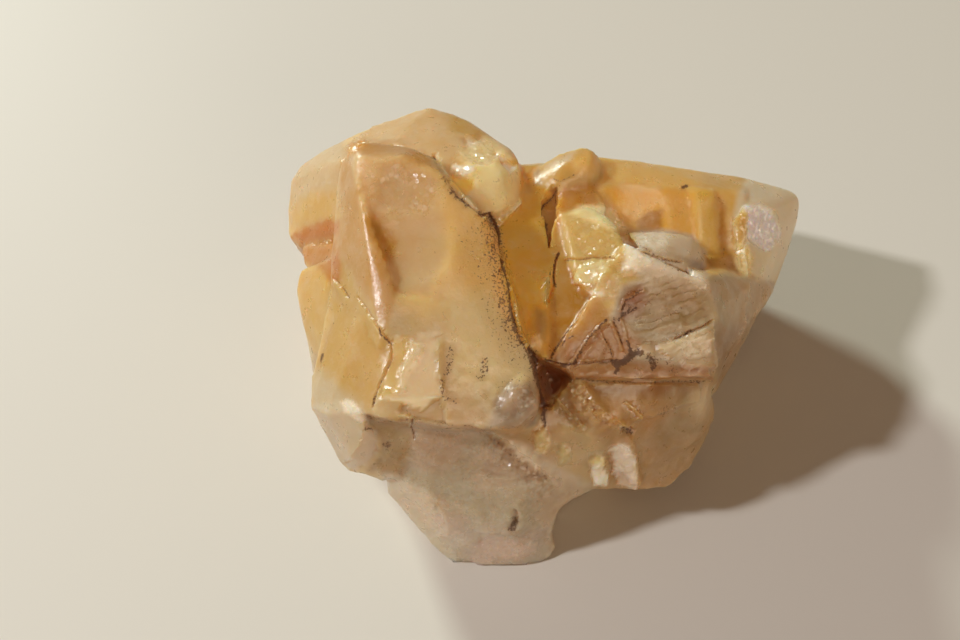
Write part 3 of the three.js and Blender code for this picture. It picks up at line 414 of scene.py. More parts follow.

# Brown cracks and specks, and dark lines painted as shade under edges, in the cavity and in grooves: half
# width, strength, line
STAIN_AND_SHADE_LINES = (
    # Seam
    (0.07, 1.0, ((-4.6, 16.5), (-4, 15.3), (-3.3, 14.2), (-2.4, 13), (-1.7, 12.2))),
    (0.28, 0.8, ((-2.8, 13), (-2.2, 12.6), (-1.6, 12), (-1.4, 11.5))),
    (0.05, 0.8, ((-4.2, 13.8), (-3.6, 14.3), (-3.4, 13.6), (-3.7, 13.2))),
    (0.14, 1.0, ((-1.7, 12.2), (-1, 11.4), (-0.1, 10.7), (0.8, 10.6))),
    (0.22, 0.8, ((0.1, 10.8), (0.6, 10.2), (0.9, 9.4))),
    (0.12, 1.0, ((0.8, 10.6), (1.5, 9.8), (1.9, 8.6), (2, 7.4), (2.2, 6), (2.7, 4.5), (3.1, 2.8))),
    (0.2, 1.0, ((3.1, 2.8), (3.3, 1), (3.6, -0.6), (4.2, -2), (5, -3.2), (5.6, -4.2))),
    (0.8, 0.62, ((0.8, 9.5), (1.6, 6.5), (2.1, 4), (2.7, 1.5), (3.1, -0.5), (4, -2.2))),
    (1.5, 0.36, ((-0.4, 8), (1, 5), (1.7, 2), (2.5, -1), (4, -3.5))),
    (0.2, 1.0, ((5, -3.2), (5.6, -4.6), (6, -6.2), (6.4, -8), (6.6, -10.4))),
    # Cavity: a dark line painted as shade along its wall
    (0.12, 0.9, ((4.6, -3), (5.4, -5.2), (6.1, -7.2), (6.5, -8.8))),
    # Foot of the front crystal: a dark line painted as the shadow under its lower edge
    (0.12, 0.5, ((-11.2, -9.7), (-9.5, -10.1), (-7, -9.9), (-4, -10.4), (-1, -10.7), (0.6, -11.1),
        (4, -10.7))),
    # Flank of the front crystal
    (0.06, 0.9, ((-9.9, -6), (-10.1, -6.8), (-10.6, -7.8), (-10.8, -8.6))),
    (0.05, 0.5, ((-8.9, -2.4), (-8.9, -4), (-9.6, -5.4), (-9.9, -6))),
    (0.07, 0.95, ((-10.2, -0.8), (-9.9, -1.6), (-9.6, -1.8), (-8.9, -2.4))),
    (0.04, 0.5, ((-12.6, 2.4), (-11.8, 1.4), (-11, 0.4), (-10.2, -0.8))),
    # Left slabs
    (0.05, 0.8, ((-14.3, 3.8), (-13.7, 3), (-13.2, 2.2))),
    (0.04, 0.8, ((-13.2, 2.2), (-12.9, 2.6))),
    (0.09, 0.9, ((-15.7, -3.4), (-15.9, -4.2))),
    (0.04, 0.5, ((-14.6, -0.2), (-15, -1), (-15.4, -2.2), (-15.7, -3.4))),
    # Foot of the front crystal
    (0.35, 0.6, ((-2.9, -3), (-3.1, -4.2), (-3.3, -5.4))),
    (0.3, 0.6, ((-3.9, -6.2), (-3.9, -7.6))),
    (0.3, 0.7, ((0.6, -4.1), (0.5, -5), (0.1, -5.8))),
    (0.35, 0.6, ((-3.4, -7.8), (-2.8, -8), (-2.4, -8.4))),
    (0.9, 0.35, ((2, -7), (3.2, -6), (4.8, -5.2))),
    # Amber crystal
    (0.09, 0.95, ((7.9, 6.7), (7.6, 6.2), (7.4, 5.2), (7.3, 4.2), (7.5, 3.4))),
    (0.05, 0.7, ((7, 5), (6.8, 3), (6.6, 1.8), (6.8, 1.2))),
    # The next two lines are painted shade along the amber gap
    (0.08, 1.0, ((7.5, 13.1), (7.1, 12.8), (6.6, 12), (6.4, 11.3), (6.7, 10.2), (6.7, 9), (6.9, 7.5))),
    (0.06, 0.9, ((7.7, 13), (7.6, 12), (7.4, 11), (7.3, 10), (7, 8.4))),
    # Pebble, bar, golden facet and cap
    (0.05, 0.8, ((7.3, 14.2), (8, 13.9), (8.8, 14.2), (9.4, 14.5))),
    (0.05, 0.7, ((24.4, 7.2), (24.3, 6.4), (24, 5.8))),
    # Golden facet
    (0.07, 0.6, ((8.6, 6), (9.5, 6), (11.2, 6.3), (13.4, 6.2))),
    # Grey cap
    (0.08, 0.7, ((17.5, 6.3), (18.8, 6), (20, 5.8))),
    (0.1, 0.6, ((15.6, 7.8), (16.8, 7), (18.4, 5.8), (20.4, 4.8), (22.4, 5))),
    # Fibres of the pale block
    (0.14, 0.8, ((16, 2.9), (15.4, 2.4), (14.6, 2), (14.2, 1.4), (14.2, 0.6))),
    (0.3, 0.7, ((14.3, 1.6), (14.8, 1.2), (15.6, 1.2))),
    (0.18, 0.85, ((13.4, 0.2), (14, 0), (14.6, 0.6), (15, 1.2))),
    (0.14, 0.85, ((12.6, 0), (11.6, -1), (10.6, -2), (10, -3.2), (9.4, -4.2))),
    (0.12, 0.85, ((9.2, -0.6), (8.5, -1.6), (7.6, -2.8), (7.1, -3.8))),
    (0.09, 0.7, ((9.4, -1.6), (8.6, -2), (8, -2.8))),
    (0.09, 0.8, ((13.4, -0.2), (13.8, -1.2), (14.2, -2.4))),
    (0.08, 0.8, ((12.3, -1.6), (12.8, -2.6), (13.2, -3.6))),
    # Pale block
    (0.9, 0.25, ((16.5, 1.2), (18, 1.8), (20, 2.2))),
    (0.12, 0.4, ((16.6, 1.6), (17.2, 2.2), (17.8, 2.6))),
    (0.1, 0.4, ((17.6, -0.2), (18.6, 0.2), (19.6, 0.6))),
    (0.25, 1.0, ((13.2, -4), (13.8, -4.4), (13.6, -5.2))),
    (0.32, 1.0, ((14.2, -4.2), (14.8, -3.8), (15.6, -3.5), (16.2, -3.3))),
    (0.14, 1.0, ((14.7, -2.2), (15, -3), (15.2, -3.8))),
    (0.22, 0.9, ((17, -3.6), (17.6, -4), (17.4, -4.6), (17, -4.8))),
    (0.7, 0.35, ((15.6, -3.2), (17, -3.6), (18.2, -4.2))),
    (0.3, 0.55, ((18.8, -4), (19.2, -4.8), (19.6, -5.2))),
    (0.25, 0.5, ((19.8, -3.8), (20.4, -3.8))),
    # Ledge and step: dark lines painted as shade under the ledge and in the step's grooves
    (0.1, 1.0, ((6.5, -4.1), (7.6, -4.3), (8.8, -4.4), (9.6, -4.1))),
    (0.05, 0.7, ((9.6, -4.2), (12, -4.1), (13.2, -4))),
    (0.25, 0.9, ((8.3, -4.4), (8.7, -4.4))),
    (0.1, 0.6, ((9.6, -5.8), (12, -6.1), (16, -6.3), (23.2, -6.1))),
    (0.08, 0.6, ((19.6, -1.8), (20.8, -1.3), (22, -0.8), (23.2, 0))),
    (0.15, 0.8, ((20.4, -1.2), (21, -1.1))),
    # Lower body
    (0.22, 1.0, ((14.1, -10.8), (14.7, -11.1), (15.4, -11.3))),
    (0.5, 0.5, ((18.4, -9.2), (18.8, -8.8))),
    (0.15, 0.8, ((21.7, -6.1), (21.9, -6.2))),
    # Milky base
    (0.25, 0.9, ((3.7, -20), (3.4, -20.6), (3.1, -21.2))),
    (0.12, 0.7, ((3.6, -19), (3.8, -19.8))),
    (0.16, 0.6, ((-4.3, -18.6), (-4.6, -19.2))),
    (0.25, 0.6, ((0.6, -11.6), (2.2, -12.7), (3.8, -14.2))),
    (0.3, 0.5, ((3.6, -13.8), (5, -15), (6.5, -15.8))),
    # Rusty patch
    (0.7, 0.3, ((-10, -11), (-8.5, -12.5), (-8, -14))),
    (0.18, 0.9, ((-9.9, -12.6), (-9.4, -12.7), (-9.3, -12.2))),
    (0.08, 0.8, PATCH_LINE),
    (0.12, 0.8, ((-11.2, -9.6), (-10.8, -9.8))),
    (0.1, 0.8, ((-11.4, -10.8), (-10.6, -11))),
    # Speck on the bar
    (0.14, 1.0, ((20.3, 13.3), (20.7, 13.4))),
)

# Where small broken faces glitter: softness of the edge, strength, outline
GLITTER_ZONES = (
    # Top crystal
    (0.4, 1.0, ((-1.4, 18.4), (0.2, 18.2), (1.6, 16.8), (1, 15.6), (-0.2, 15.8), (-0.8, 17))),
    (0.5, 0.6, ((-2.5, 17), (-0.8, 17.4), (-0.6, 16), (-2, 15.6))),
    (0.2, 1.0, ((-2.8, 15.6), (-0.4, 15.6), (-0.6, 14.5), (-2.4, 14.6))),
    (0.15, 0.9, ((1.8, 16.8), (3.8, 15.6), (3.1, 14.9), (2.3, 15.7))),
    (0.2, 0.9, ((1.4, 9.8), (2.8, 11), (4.1, 12.2), (3.9, 11.4), (2.6, 10.2), (1.9, 9.4))),
    # Front crystal
    (0.8, 0.45, ((-10.8, 16), (-6, 16.5), (-4.4, 14.5), (-5, 10.5), (-9, 10.5), (-11.2, 13))),
    (0.3, 0.6, ((-13.6, 17.2), (-12, 18.2), (-11.4, 17.8), (-12.4, 17))),
    # Golden facet
    (0.4, 0.7, ((9, 9.8), (11, 10), (13.2, 9.4), (14, 8), (13.2, 6.4), (11, 6.4), (9.6, 7.6))),
    (0.25, 1.0, ((9.4, 3.6), (9.8, 5), (10.8, 5.8), (12.6, 5.8), (13.2, 4.8), (12.2, 3.8), (10.4, 3.4))),
    (0.25, 1.0, ((10.4, 3.2), (12.4, 4.4), (14.2, 4.4), (13.2, 2.4), (11.4, 2.3))),
    (0.2, 0.8, ((10.4, 11.4), (12, 11.7), (13.8, 10.6), (14.4, 9.2), (13.2, 9.8), (11.8, 10.9))),
    # Grey cap
    (0.3, 1.0, ((15.6, 8.4), (17, 8.8), (18.4, 8.8), (18.8, 7.6), (17.8, 7), (16.2, 7.6))),
    # Right end
    (0.3, 1.0, ((26.5, 11.2), (27.8, 11.6), (29.6, 10.8), (30, 9.2), (29.6, 7.8), (28.4, 7), (27, 8),
        (26.4, 9.6))),
    (0.25, 0.9, ((25.4, 9.8), (26.4, 11.4), (27, 10.8), (26.6, 8.8), (26, 7.6))),
    (0.3, 0.4, ((25.6, 8), (27, 7), (27.2, 4.2), (25.8, 5.4))),
    # Pale block
    (0.25, 0.9, ((14.4, 7.7), (15.8, 7.2), (17.2, 5.8), (15.6, 5), (14.4, 4.8))),
    (0.3, 0.6, ((20.4, 4.4), (22, 4.2), (23.2, 3), (22.4, 3), (21, 3.8))),
    (0.5, 0.5, ((20, -2.2), (23.2, -1), (23.2, -3), (20.4, -4))),
    # Tiles under the body
    (0.12, 1.0, ((12.9, -12.8), (14.2, -12.4), (15.6, -13.6), (15.8, -17.1), (13.8, -16.4), (13.2, -14.2))),
    (0.12, 0.5, SMALL_TILE),
    # Lower body
    (0.3, 0.9, ((5.3, -11.2), (6.5, -10.6), (7, -12.4), (6.6, -13.6), (5.6, -13.2))),
    (0.25, 0.9, ((7.6, -12.6), (9.2, -12.6), (9, -14.2), (8, -14.8))),
    (0.25, 0.8, ((10.8, -13.2), (12.4, -13.2), (12.6, -14.8), (11.2, -15))),
    (0.25, 0.9, ((8.8, -6.4), (9.8, -6.4), (11.6, -8.8), (14.6, -10.6), (14.2, -11.2), (11.6, -9.6),
        (10, -8))),
    (0.25, 0.7, ((7.2, -7.6), (8.2, -8.2), (10.6, -10.8), (9.8, -11.2), (7.6, -9))),
    (0.25, 0.8, ((14.4, -8.2), (15.4, -8), (16.2, -9.4), (15.4, -9.8))),
    # Milky base
    (0.4, 0.8, ((0.2, -11), (2.5, -12), (5, -14), (8, -16.4), (6, -17.6), (3, -15.2))),
    (0.5, 0.6, ((4.8, -14.8), (6.8, -15.4), (7.2, -17.6), (5.6, -18), (4.6, -16.4))),
    (1.5, 0.32, ((-8, -11), (0, -12), (6, -17), (6.5, -24), (-2, -24.5), (-8, -17))),
    # Small prism
    (0.2, 0.8, ((-13.6, -8), (-12.8, -8.2), (-11.4, -9.8), (-12, -10.4), (-13, -9.4))),
    # Grey lump
    (0.4, 0.7, ((3, -7.2), (4.8, -6.4), (5.6, -8), (4, -9.4))),
    # Window of the front crystal
    (0.15, 1.0, ((-7.4, -1.8), (-6.9, -2), (-6.9, -3.4), (-8, -5.6), (-8.4, -5.6), (-7.6, -3.6))),
    (0.15, 0.7, ((-6, -2.2), (-5.6, -2.6), (-6.4, -4.2), (-6.8, -4))),
    (0.15, 0.8, ((-10, -6.6), (-7.4, -6.6), (-7.4, -7.2), (-10, -7.2))),
)

# Low steps and hollows: rise, softness of the edge, outline
FORM_ZONES = (
    # Window of the front crystal
    (-0.2, 0.1, ((-8.8, -1.8), (-7, -1.5), (-4, -1.5), (-4.6, -3.2), (-4.3, -5.4), (-3.8, -7.7),
        (-10.1, -7.8), (-9.7, -5.6), (-8.8, -4))),
    (0.2, 0.08, ((-6.9, -2), (-5.5, -2.4), (-6.4, -4.2), (-7.6, -6), (-7.6, -7.2), (-8.2, -7.2),
        (-8.2, -5.2), (-7.1, -3.2))),
    # Front crystal
    (-0.12, 1.0, ((-11.8, 10.8), (-10.2, 10.5), (-9.2, 9.4), (-8.4, 8), (-9, 6.2), (-10.2, 6.4),
        (-11.4, 8))),
    (-0.4, 0.12, ((-8, -8.2), (-5.6, -9.1), (-4.8, -8.2), (-3.8, -7.9), (-3.4, -10.4), (-6.8, -9.8),
        (-8.2, -9.2))),
    # Top crystal
    (0.15, 0.12, ((-2.8, 15.6), (-0.4, 15.5), (-0.5, 14.6), (-2.5, 14.7))),
    (-0.3, 0.25, ((-1.8, 18.2), (0.2, 18.4), (2, 17), (1.2, 15.5), (-1.4, 16))),
    (-0.15, 0.12, ((-3, 14.5), (-0.6, 14.3), (-0.6, 13.1), (-1.3, 12.4), (-2.2, 13))),
    (-0.3, 0.1, ((1.7, 17), (2.7, 16.4), (3.8, 15.6), (3.1, 14.8), (2.2, 15.6))),
    (0.25, 0.12, ((1.4, 9.8), (1.8, 10.3), (3.9, 12.3), (4.1, 11.7), (3, 10.5), (1.9, 9.4))),
    # Amber crystal
    (-1.2, 0.15, ((7, 13.2), (7.7, 13.2), (7.8, 12.2), (7.5, 11.2), (7.5, 10.4), (7.1, 8.8), (6.9, 7.3),
        (6.7, 9.2), (6.5, 10.3), (6.2, 11.3), (6.4, 12.1))),
    (0.3, 0.4, ((5.2, 1.4), (6.6, 0.8), (6.6, -0.8), (6, -2.4), (5, -1.4))),
    (0.3, 0.15, ((6.3, 4), (6.9, 4.4), (7, 3.2), (6.7, 1.2), (6.3, 1.6))),
    # Golden facet
    (0.15, 0.1, ((9.3, 3.7), (9.7, 5), (10.8, 5.9), (12.6, 5.9), (13.2, 5), (12.2, 3.8), (10.6, 3.4))),
    (0.12, 0.1, ((10.4, 3.2), (12.4, 4.3), (14.2, 4.7), (14.6, 3.8), (13.2, 2.2), (11.6, 2.3))),
    # Pale block
    (0.15, 0.15, ((14.3, 7.8), (15.4, 7.4), (17.2, 5.8), (15.8, 5), (14.4, 4.6))),
    (0.35, 0.1, ((17.8, -2.6), (20, -1.8), (21, -1.2), (23.4, -0.4), (23.6, -4.8), (21, -4.8), (18, -3.2))),
    (0.3, 0.15, ((15.6, -2.5), (17, -2.2), (17.4, -3.6), (16, -3.8))),
    # Tiles under the body
    (0.2, 0.1, BRIGHT_TILE),
    (0.15, 0.1, SMALL_TILE),
    # Lower body
    (0.15, 0.15, ((5.4, -11.6), (6.5, -10.6), (7, -12.4), (6.6, -13.6), (5.6, -13.4))),
    (0.12, 0.12, ((7.8, -13.6), (8.2, -12.5), (9.2, -13), (8.8, -14.2), (8, -14.6))),
    (0.12, 0.12, ((11, -14.2), (11.6, -13.4), (12.6, -13.8), (12.4, -14.8), (11.4, -14.9))),
    (0.3, 0.12, ((8.8, -6.3), (9.6, -6.2), (11.6, -8.8), (14.8, -10.8), (16, -10), (22, -8), (22, -6.4))),
    (-0.4, 0.15, ((13.9, -10.7), (14.6, -10.6), (15.6, -11.2), (15.2, -11.7), (14.2, -11.4))),
    # Milky base
    (-0.35, 0.2, ((3.4, -18.8), (3.9, -19.6), (3.8, -20.6), (3, -21.4), (2.8, -20.8))),
    (-0.25, 0.25, ((-9.6, -15.8), (-7.8, -16), (-5.5, -17.2), (-4.4, -18.8), (-3.4, -20.6), (-6, -22.5),
        (-9.6, -18.5))),
    # Right end
    (0.3, 0.15, ((25.3, 9.8), (26.5, 11.4), (26.9, 10.6), (26.6, 8.4), (25.8, 6.8))),
    (0.25, 0.12, ((26.2, 7.4), (26.6, 7.4), (26.8, 4.2), (26.4, 4.4))),
    (-0.3, 0.2, ((26.6, 11), (27.8, 11.6), (29.5, 10.8), (30, 9.2), (29.6, 7.8), (28.4, 7), (27, 8))),
    # Small prism
    (-0.3, 0.12, PRISM_SIDE),
)

# Thin ridges and grooves: half width, rise, line
RIDGE_LINES = (
    # Fibres of the pale block
    (0.12, 0.14, ((13, -0.2), (13.6, -1.4), (14.2, -3))),
    (0.1, 0.12, ((14.1, 0), (14.6, -1.2), (14.8, -2.4))),
    (0.1, 0.1, ((12, -1), (12.6, -2.4), (13.2, -3.4))),
    (0.12, 0.14, ((12.4, -0.2), (11, -1.6), (10, -3), (9.2, -4.2))),
    (0.1, -0.12, ((12.8, -0.5), (11.4, -2), (10.4, -3.2), (9.6, -4.4))),
    (0.1, 0.1, ((9.2, -0.8), (8.2, -2.2), (7.2, -3.8))),
    (0.12, 0.12, ((16.2, 2.8), (15.4, 2.6), (14.4, 2), (14, 1))),
    # Lower body
    (0.15, 0.25, ((9, -6.4), (10, -7.8), (11.4, -9.2), (13, -10))),
    (0.12, 0.2, ((7.6, -7.8), (8.6, -9), (10.2, -10.6))),
    (0.15, 0.2, ((12, -9.2), (13.2, -9.8), (14.8, -10.4))),
    (0.12, 0.25, ((14.6, -8.2), (15.2, -8.8), (16, -9.6))),
    # Seam
    (0.12, -0.35, ((-4.6, 16.5), (-3.3, 14.2), (-1.7, 12.2), (0, 10.7), (0.9, 10.5), (1.9, 8.6), (2.2, 6),
        (3.1, 2.8), (3.4, 0.5), (4.4, -2.2), (5.6, -4.2))),
    # Flank of the front crystal
    (0.08, -0.2, ((-12.2, 2.2), (-11.2, 0.8), (-10.2, -0.8), (-8.9, -2.4), (-8.9, -4), (-9.9, -6),
        (-10.8, -8.6))),
    # Left slabs
    (0.08, -0.2, ((-14.6, 4.2), (-13.7, 3), (-13.2, 2.2))),
    # Amber crystal
    (0.1, -0.3, ((7.9, 6.7), (7.4, 5.2), (7.4, 3.6), (6.8, 1.8))),
    # Golden facet
    (0.08, -0.2, ((8.6, 6), (11.2, 6.3), (13.4, 6.2))),
    # Grey cap
    (0.1, -0.3, ((17.2, 6.4), (18.8, 6), (20.2, 5.8))),
    # Ledge and step
    (0.1, -0.3, ((19.6, -1.8), (21, -1.2), (22, -0.8), (23.4, 0))),
    (0.1, -0.25, ((6.5, -4.1), (8.2, -4.4), (11, -4.2), (13.2, -4))),
    # Rusty patch
    (0.08, -0.2, PATCH_LINE),
)

# Broken surfaces: kind, height, softness of the edge, outline
TEXTURE_ZONES = (
    # Front crystal
    ("RIPPLES", 0.16, 0.5, ((-11.8, 16), (-8, 16.8), (-5, 16), (-4, 13.5), (-5, 10.8), (-7.5, 9.8),
        (-11.2, 10), (-12.2, 13))),
    ("RIPPLES", 0.1, 0.6, ((-10.4, 5.8), (-8, 5.8), (-6.8, 3), (-8.4, 2.6))),
    # Top crystal
    ("ROUGH", 0.16, 0.3, ((-1.8, 18.4), (0.2, 18.6), (1.8, 17), (1.4, 15.5), (-1.4, 15.8))),
    # Golden facet
    ("ROUGH", 0.14, 0.3, ((8.8, 10), (11, 10.4), (14.2, 8.8), (14.6, 4), (12.4, 2), (9.4, 3.6))),
    ("ROUGH", 0.15, 0.2, ((8.6, 10.6), (10.4, 11.5), (12.2, 11.7), (14.2, 9.8), (14.6, 8.8), (12, 10))),
    # Grey cap
    ("ROUGH", 0.12, 0.3, ((15.2, 8.6), (18.8, 8.9), (20, 7.4), (18, 6.8), (16, 7.4))),
    # Right end
    ("ROUGH", 0.2, 0.3, ((25.5, 10.5), (26.5, 11.4), (28, 11.6), (30, 10.6), (30.2, 8.4), (28.4, 6.8),
        (26.2, 7.6))),
    ("RIBS", 0.16, 0.3, ((25.5, 8), (26.6, 7.4), (27.6, 6.4), (27.4, 4), (26.2, 4.4), (25.6, 5.8))),
    # Pale block
    ("STEPS", 0.14, 0.8, ((16, 4.5), (19, 4.8), (23.2, 2.8), (23.6, -0.5), (20, -1.8), (16, -2),
        (14.8, 1))),
    ("STEPS", 0.12, 0.3, ((18, -2.4), (23.4, -0.6), (23.4, -4.8), (20, -5))),
    ("ROUGH", 0.16, 0.2, ((14.3, 7.7), (16, 7), (17.2, 5.8), (15.8, 4.8), (14.4, 4.6))),
    # Fibres of the pale block
    ("ROUGH", 0.1, 0.5, ((7.2, -4.2), (8.6, -1.8), (12, -0.2), (16, 0), (16.6, -3.6), (14.5, -4.4))),
    # Ledge and step
    ("STEPS", 0.1, 0.3, ((9, -4.2), (23.2, -4.6), (23.3, -6), (9.6, -5.9))),
    # Lower body
    ("ROUGH", 0.14, 0.4, ((7.2, -7.6), (9, -6.2), (12, -8), (16, -10.5), (13, -12), (9.5, -11))),
    ("SHELLS", 0.3, 1.5, ((7.6, -7.6), (12, -6.4), (23.6, -6.4), (23.6, -11), (18.8, -17), (10.5, -17),
        (5, -14.2), (6.5, -10.6))),
    # Tiles under the body
    ("ROUGH", 0.12, 0.12, ((12.9, -12.8), (14, -12.4), (15.7, -14), (15.8, -17), (13.8, -16.4))),
    # Milky base
    ("ROUGH", 0.22, 0.5, ((-0.2, -10.8), (2.5, -11.6), (6.5, -14.2), (11.6, -16.8), (8, -18.4), (4, -16.4),
        (1, -13.2))),
    ("SHELLS", 0.28, 1.0, ((-7.5, -10.8), (0.5, -11.6), (4, -15), (8, -18), (7.6, -24), (-2, -25),
        (-9, -17.5))),
    # Grey lump
    ("ROUGH", 0.16, 0.4, ((1, -10.8), (1.4, -8.2), (3.2, -6.2), (5.4, -6), (6, -10))),
    # Rusty patch
    ("ROUGH", 0.14, 0.4, ((-11.2, -9.8), (-6.8, -10), (-7.2, -13.5), (-8, -15.6), (-11, -15.4))),
    # Shaded side
    ("SHELLS", 0.3, 0.8, ((22.6, 4.4), (29.8, 3.6), (28.4, 0.5), (23.6, -8.2), (23.3, -3))),
    # Lower lip
    ("ROUGH", 0.08, 0.6, ((-4, -2), (2, -3), (5, -5), (6, -8), (1, -10.5), (-3.5, -10))),
)


# Number patterns in space, the same each run

# Each pattern has its own seed, so that no two patterns lie on each other.
SEED = {
    "light wear": 11,
    "deep wear": 17,
    "swell": 31,
    "hollows": 41,
    "small hollows": 61,
    "grain": 71,
    "colour wobble right": 101,
    "colour wobble up": 111,
    "amber height": 121,
    "clouds": 131,
    "rust": 141,
    "back stain": 151,
    "ripples": 201,
    "rough": 211,
    "fine rough": 221,
    "shells": 231,
    "fine shells": 241,
    "steps": 251,
    "fine steps": 261,
    "ribs": 271,
    "form wobble right": 281,
    "form wobble up": 291,
}


def scrambled(cells, seed):
    """A number from 0 to 1 for each whole-numbered cell. The big odd numbers only mix it well."""
    h = cells[..., 0] * 73856093 ^ cells[..., 1] * 19349663 ^ cells[..., 2] * 83492791 ^ seed * 2654435761
    h = (h ^ (h >> 15)) * 2246822519 & 0xFFFFFFFF
    h = (h ^ (h >> 13)) * 3266489917 & 0xFFFFFFFF
    return ((h ^ (h >> 16)) & 0xFFFFFF) / 0xFFFFFF


def waves(points, size, seed):
    """Smooth lumps of about the given size, from -1 to 1."""
    scaled = points / size
    cell = np.floor(scaled).astype(np.int64)
    part = scaled - cell
    part = part * part * (3 - 2 * part)
    total = np.zeros(len(points))
    for x in (0, 1):
        for y in (0, 1):
            for z in (0, 1):
                corner = np.array([x, y, z])
                share = np.where(corner == 1, part, 1 - part).prod(axis=1)
                total += share * scrambled(cell + corner, seed)
    return total * 2 - 1


def rough_waves(points, size, seed, layers=3):
    """Waves with finer and lower waves on them, from -1 to 1."""
    total = np.zeros(len(points))
    for layer in range(layers):
        total += waves(points, size / 2**layer, seed + layer) / 2**layer
    return total / (2 - 2 ** (1 - layers))


def scallops(points, size, seed, lean=0.6):
    """Shell-shaped hollows with sharp ridges between them, from 0 at the lowest to about 1."""
    scaled = points / size
    cell = np.floor(scaled).astype(np.int64)
    lowest = np.full(len(points), np.inf)
    for x in (-1, 0, 1):
        for y in (-1, 0, 1):
            for z in (-1, 0, 1):
                there = cell + np.array([x, y, z])
                place = np.stack([scrambled(there, seed + k) for k in range(3)], axis=1)
                tilt = np.stack([scrambled(there, seed + 3 + k) for k in range(3)], axis=1) * 2 - 1
                away = scaled - there - place
                height = (away * away).sum(axis=1) + lean * (away * tilt).sum(axis=1)
                lowest = np.minimum(lowest, height + 0.4 * scrambled(there, seed + 6))
    return lowest


# The mesh

# The size of the even mesh, the longest edge along thin lines, and how often it is halved
MESH_SIZE = 0.38
LINE_EDGE = 0.2
LINE_ROUNDS = 2
# Lines with a smaller half width than this are thin, and their mesh is fine this far from them.
THIN_LINE = 0.15
# Edges sharper than this stay crisp.
CRISP_ANGLE = 32


def evenly_meshed(node):
    """The points, in millimetres, and the triangles of a CAD node, meshed anew with even faces."""
    shape = bpy.data.objects.new("shape", node.data.copy())
    bpy.context.scene.collection.objects.link(shape)
    remesh = shape.modifiers.new("even", "REMESH")
    remesh.mode = "VOXEL"
    remesh.voxel_size = MESH_SIZE * MM
    bpy.context.view_layer.update()
    mesh = shape.evaluated_get(bpy.context.evaluated_depsgraph_get()).to_mesh()
    mesh.calc_loop_triangles()
    points = np.zeros(len(mesh.vertices) * 3, np.float32)
    mesh.vertices.foreach_get("co", points)
    triangles = np.zeros(len(mesh.loop_triangles) * 3, np.int32)
    mesh.loop_triangles.foreach_get("vertices", triangles)
    bpy.data.objects.remove(shape)
    return points.reshape(-1, 3).astype(float) / MM, triangles.reshape(-1, 3).astype(int)


def edges_of(triangles):
    """Each edge once, and which edge each side of each triangle is."""
    sides = np.concatenate([triangles[:, [0, 1]], triangles[:, [1, 2]], triangles[:, [2, 0]]])
    sides = np.sort(sides, axis=1).astype(np.int64)
    keys = sides[:, 0] * (1 << 32) + sides[:, 1]
    unique, first, which = np.unique(keys, return_index=True, return_inverse=True)
    return sides[first], which.reshape(3, -1).T


def halved(points, triangles, chosen_at):
    """Cuts the long edges in half, where chosen_at says so at their middles."""
    for _ in range(LINE_ROUNDS):
        edges, sides = edges_of(triangles)
        ends = points[edges]
        long = np.linalg.norm(ends[:, 0] - ends[:, 1], axis=1) > LINE_EDGE
        facing = point_normals(points, triangles)[edges].sum(axis=1)
        long[long] = chosen_at(ends[long].mean(axis=1), facing[long])
        number = np.full(len(edges), -1)
        number[long] = len(points) + np.arange(long.sum())
        points = np.concatenate([points, ends[long].mean(axis=1)])
        cut = number[sides]
        count = (cut >= 0).sum(axis=1)
        # Each triangle is turned so that its cut sides come first.
        turn = np.zeros(len(triangles), int)
        turn[(count == 1) & (cut[:, 1] >= 0)] = 1
        turn[(count == 1) & (cut[:, 2] >= 0)] = 2
        turn[(count == 2) & (cut[:, 0] < 0)] = 1
        turn[(count == 2) & (cut[:, 1] < 0)] = 2
        order = (np.arange(3) + turn[:, None]) % 3
        a, b, c = np.take_along_axis(triangles, order, axis=1).T
        ab, bc, ca = np.take_along_axis(cut, order, axis=1).T
        one, two, three = count == 1, count == 2, count == 3
        short = np.zeros(len(triangles), bool)
        first = points[a[two]] - points[bc[two]]
        second = points[ab[two]] - points[c[two]]
        short[two] = (first**2).sum(axis=1) < (second**2).sum(axis=1)
        near, far = two & short, two & ~short
        made = [triangles[count == 0]]
        for chosen, corners in (
            (one, ((a, ab, c), (ab, b, c))),
            (near, ((ab, b, bc), (a, ab, bc), (a, bc, c))),
            (far, ((ab, b, bc), (a, ab, c), (ab, bc, c))),
            (three, ((a, ab, ca), (ab, b, bc), (ca, bc, c), (ab, bc, ca))),
        ):
            made += [np.stack([k[chosen] for k in triple], axis=1) for triple in corners]
        triangles = np.concatenate(made)
    return points, triangles


def face_normals(points, triangles):
    """A vector across each triangle, as long as twice the triangle's area."""
    a, b, c = points[triangles].transpose(1, 0, 2)
    return np.cross(b - a, c - a)


def spread_to_points(values, triangles, total):
    """For each point, the sum of the values of the triangles around it."""
    out = np.zeros((total, values.shape[1]))
    for corner in range(3):
        for axis in range(values.shape[1]):
            out[:, axis] += np.bincount(triangles[:, corner], values[:, axis], total)
    return out


def unit(vectors):
    return vectors / np.maximum(np.linalg.norm(vectors, axis=1, keepdims=True), 1e-12)


def point_normals(points, triangles):
    return unit(spread_to_points(face_normals(points, triangles), triangles, len(points)))


def evened(values, edges, times):
    """Values at points, each moved halfway to the mean of its neighbours, several times."""
    total = len(values)
    count = np.bincount(edges.ravel(), minlength=total)[:, None]
    for _ in range(times):
        near = np.zeros_like(values)
        for axis in range(values.shape[1]):
            near[:, axis] = np.bincount(edges[:, 0], values[edges[:, 1], axis], total)
            near[:, axis] += np.bincount(edges[:, 1], values[edges[:, 0], axis], total)
        values = (values + near / count) / 2
    return values


def smoothstep(low, high, value):
    """0 below low, 1 above high and a smooth change between them."""
    part = np.clip((value - low) / (high - low), 0, 1)
    return part * part * (3 - 2 * part)


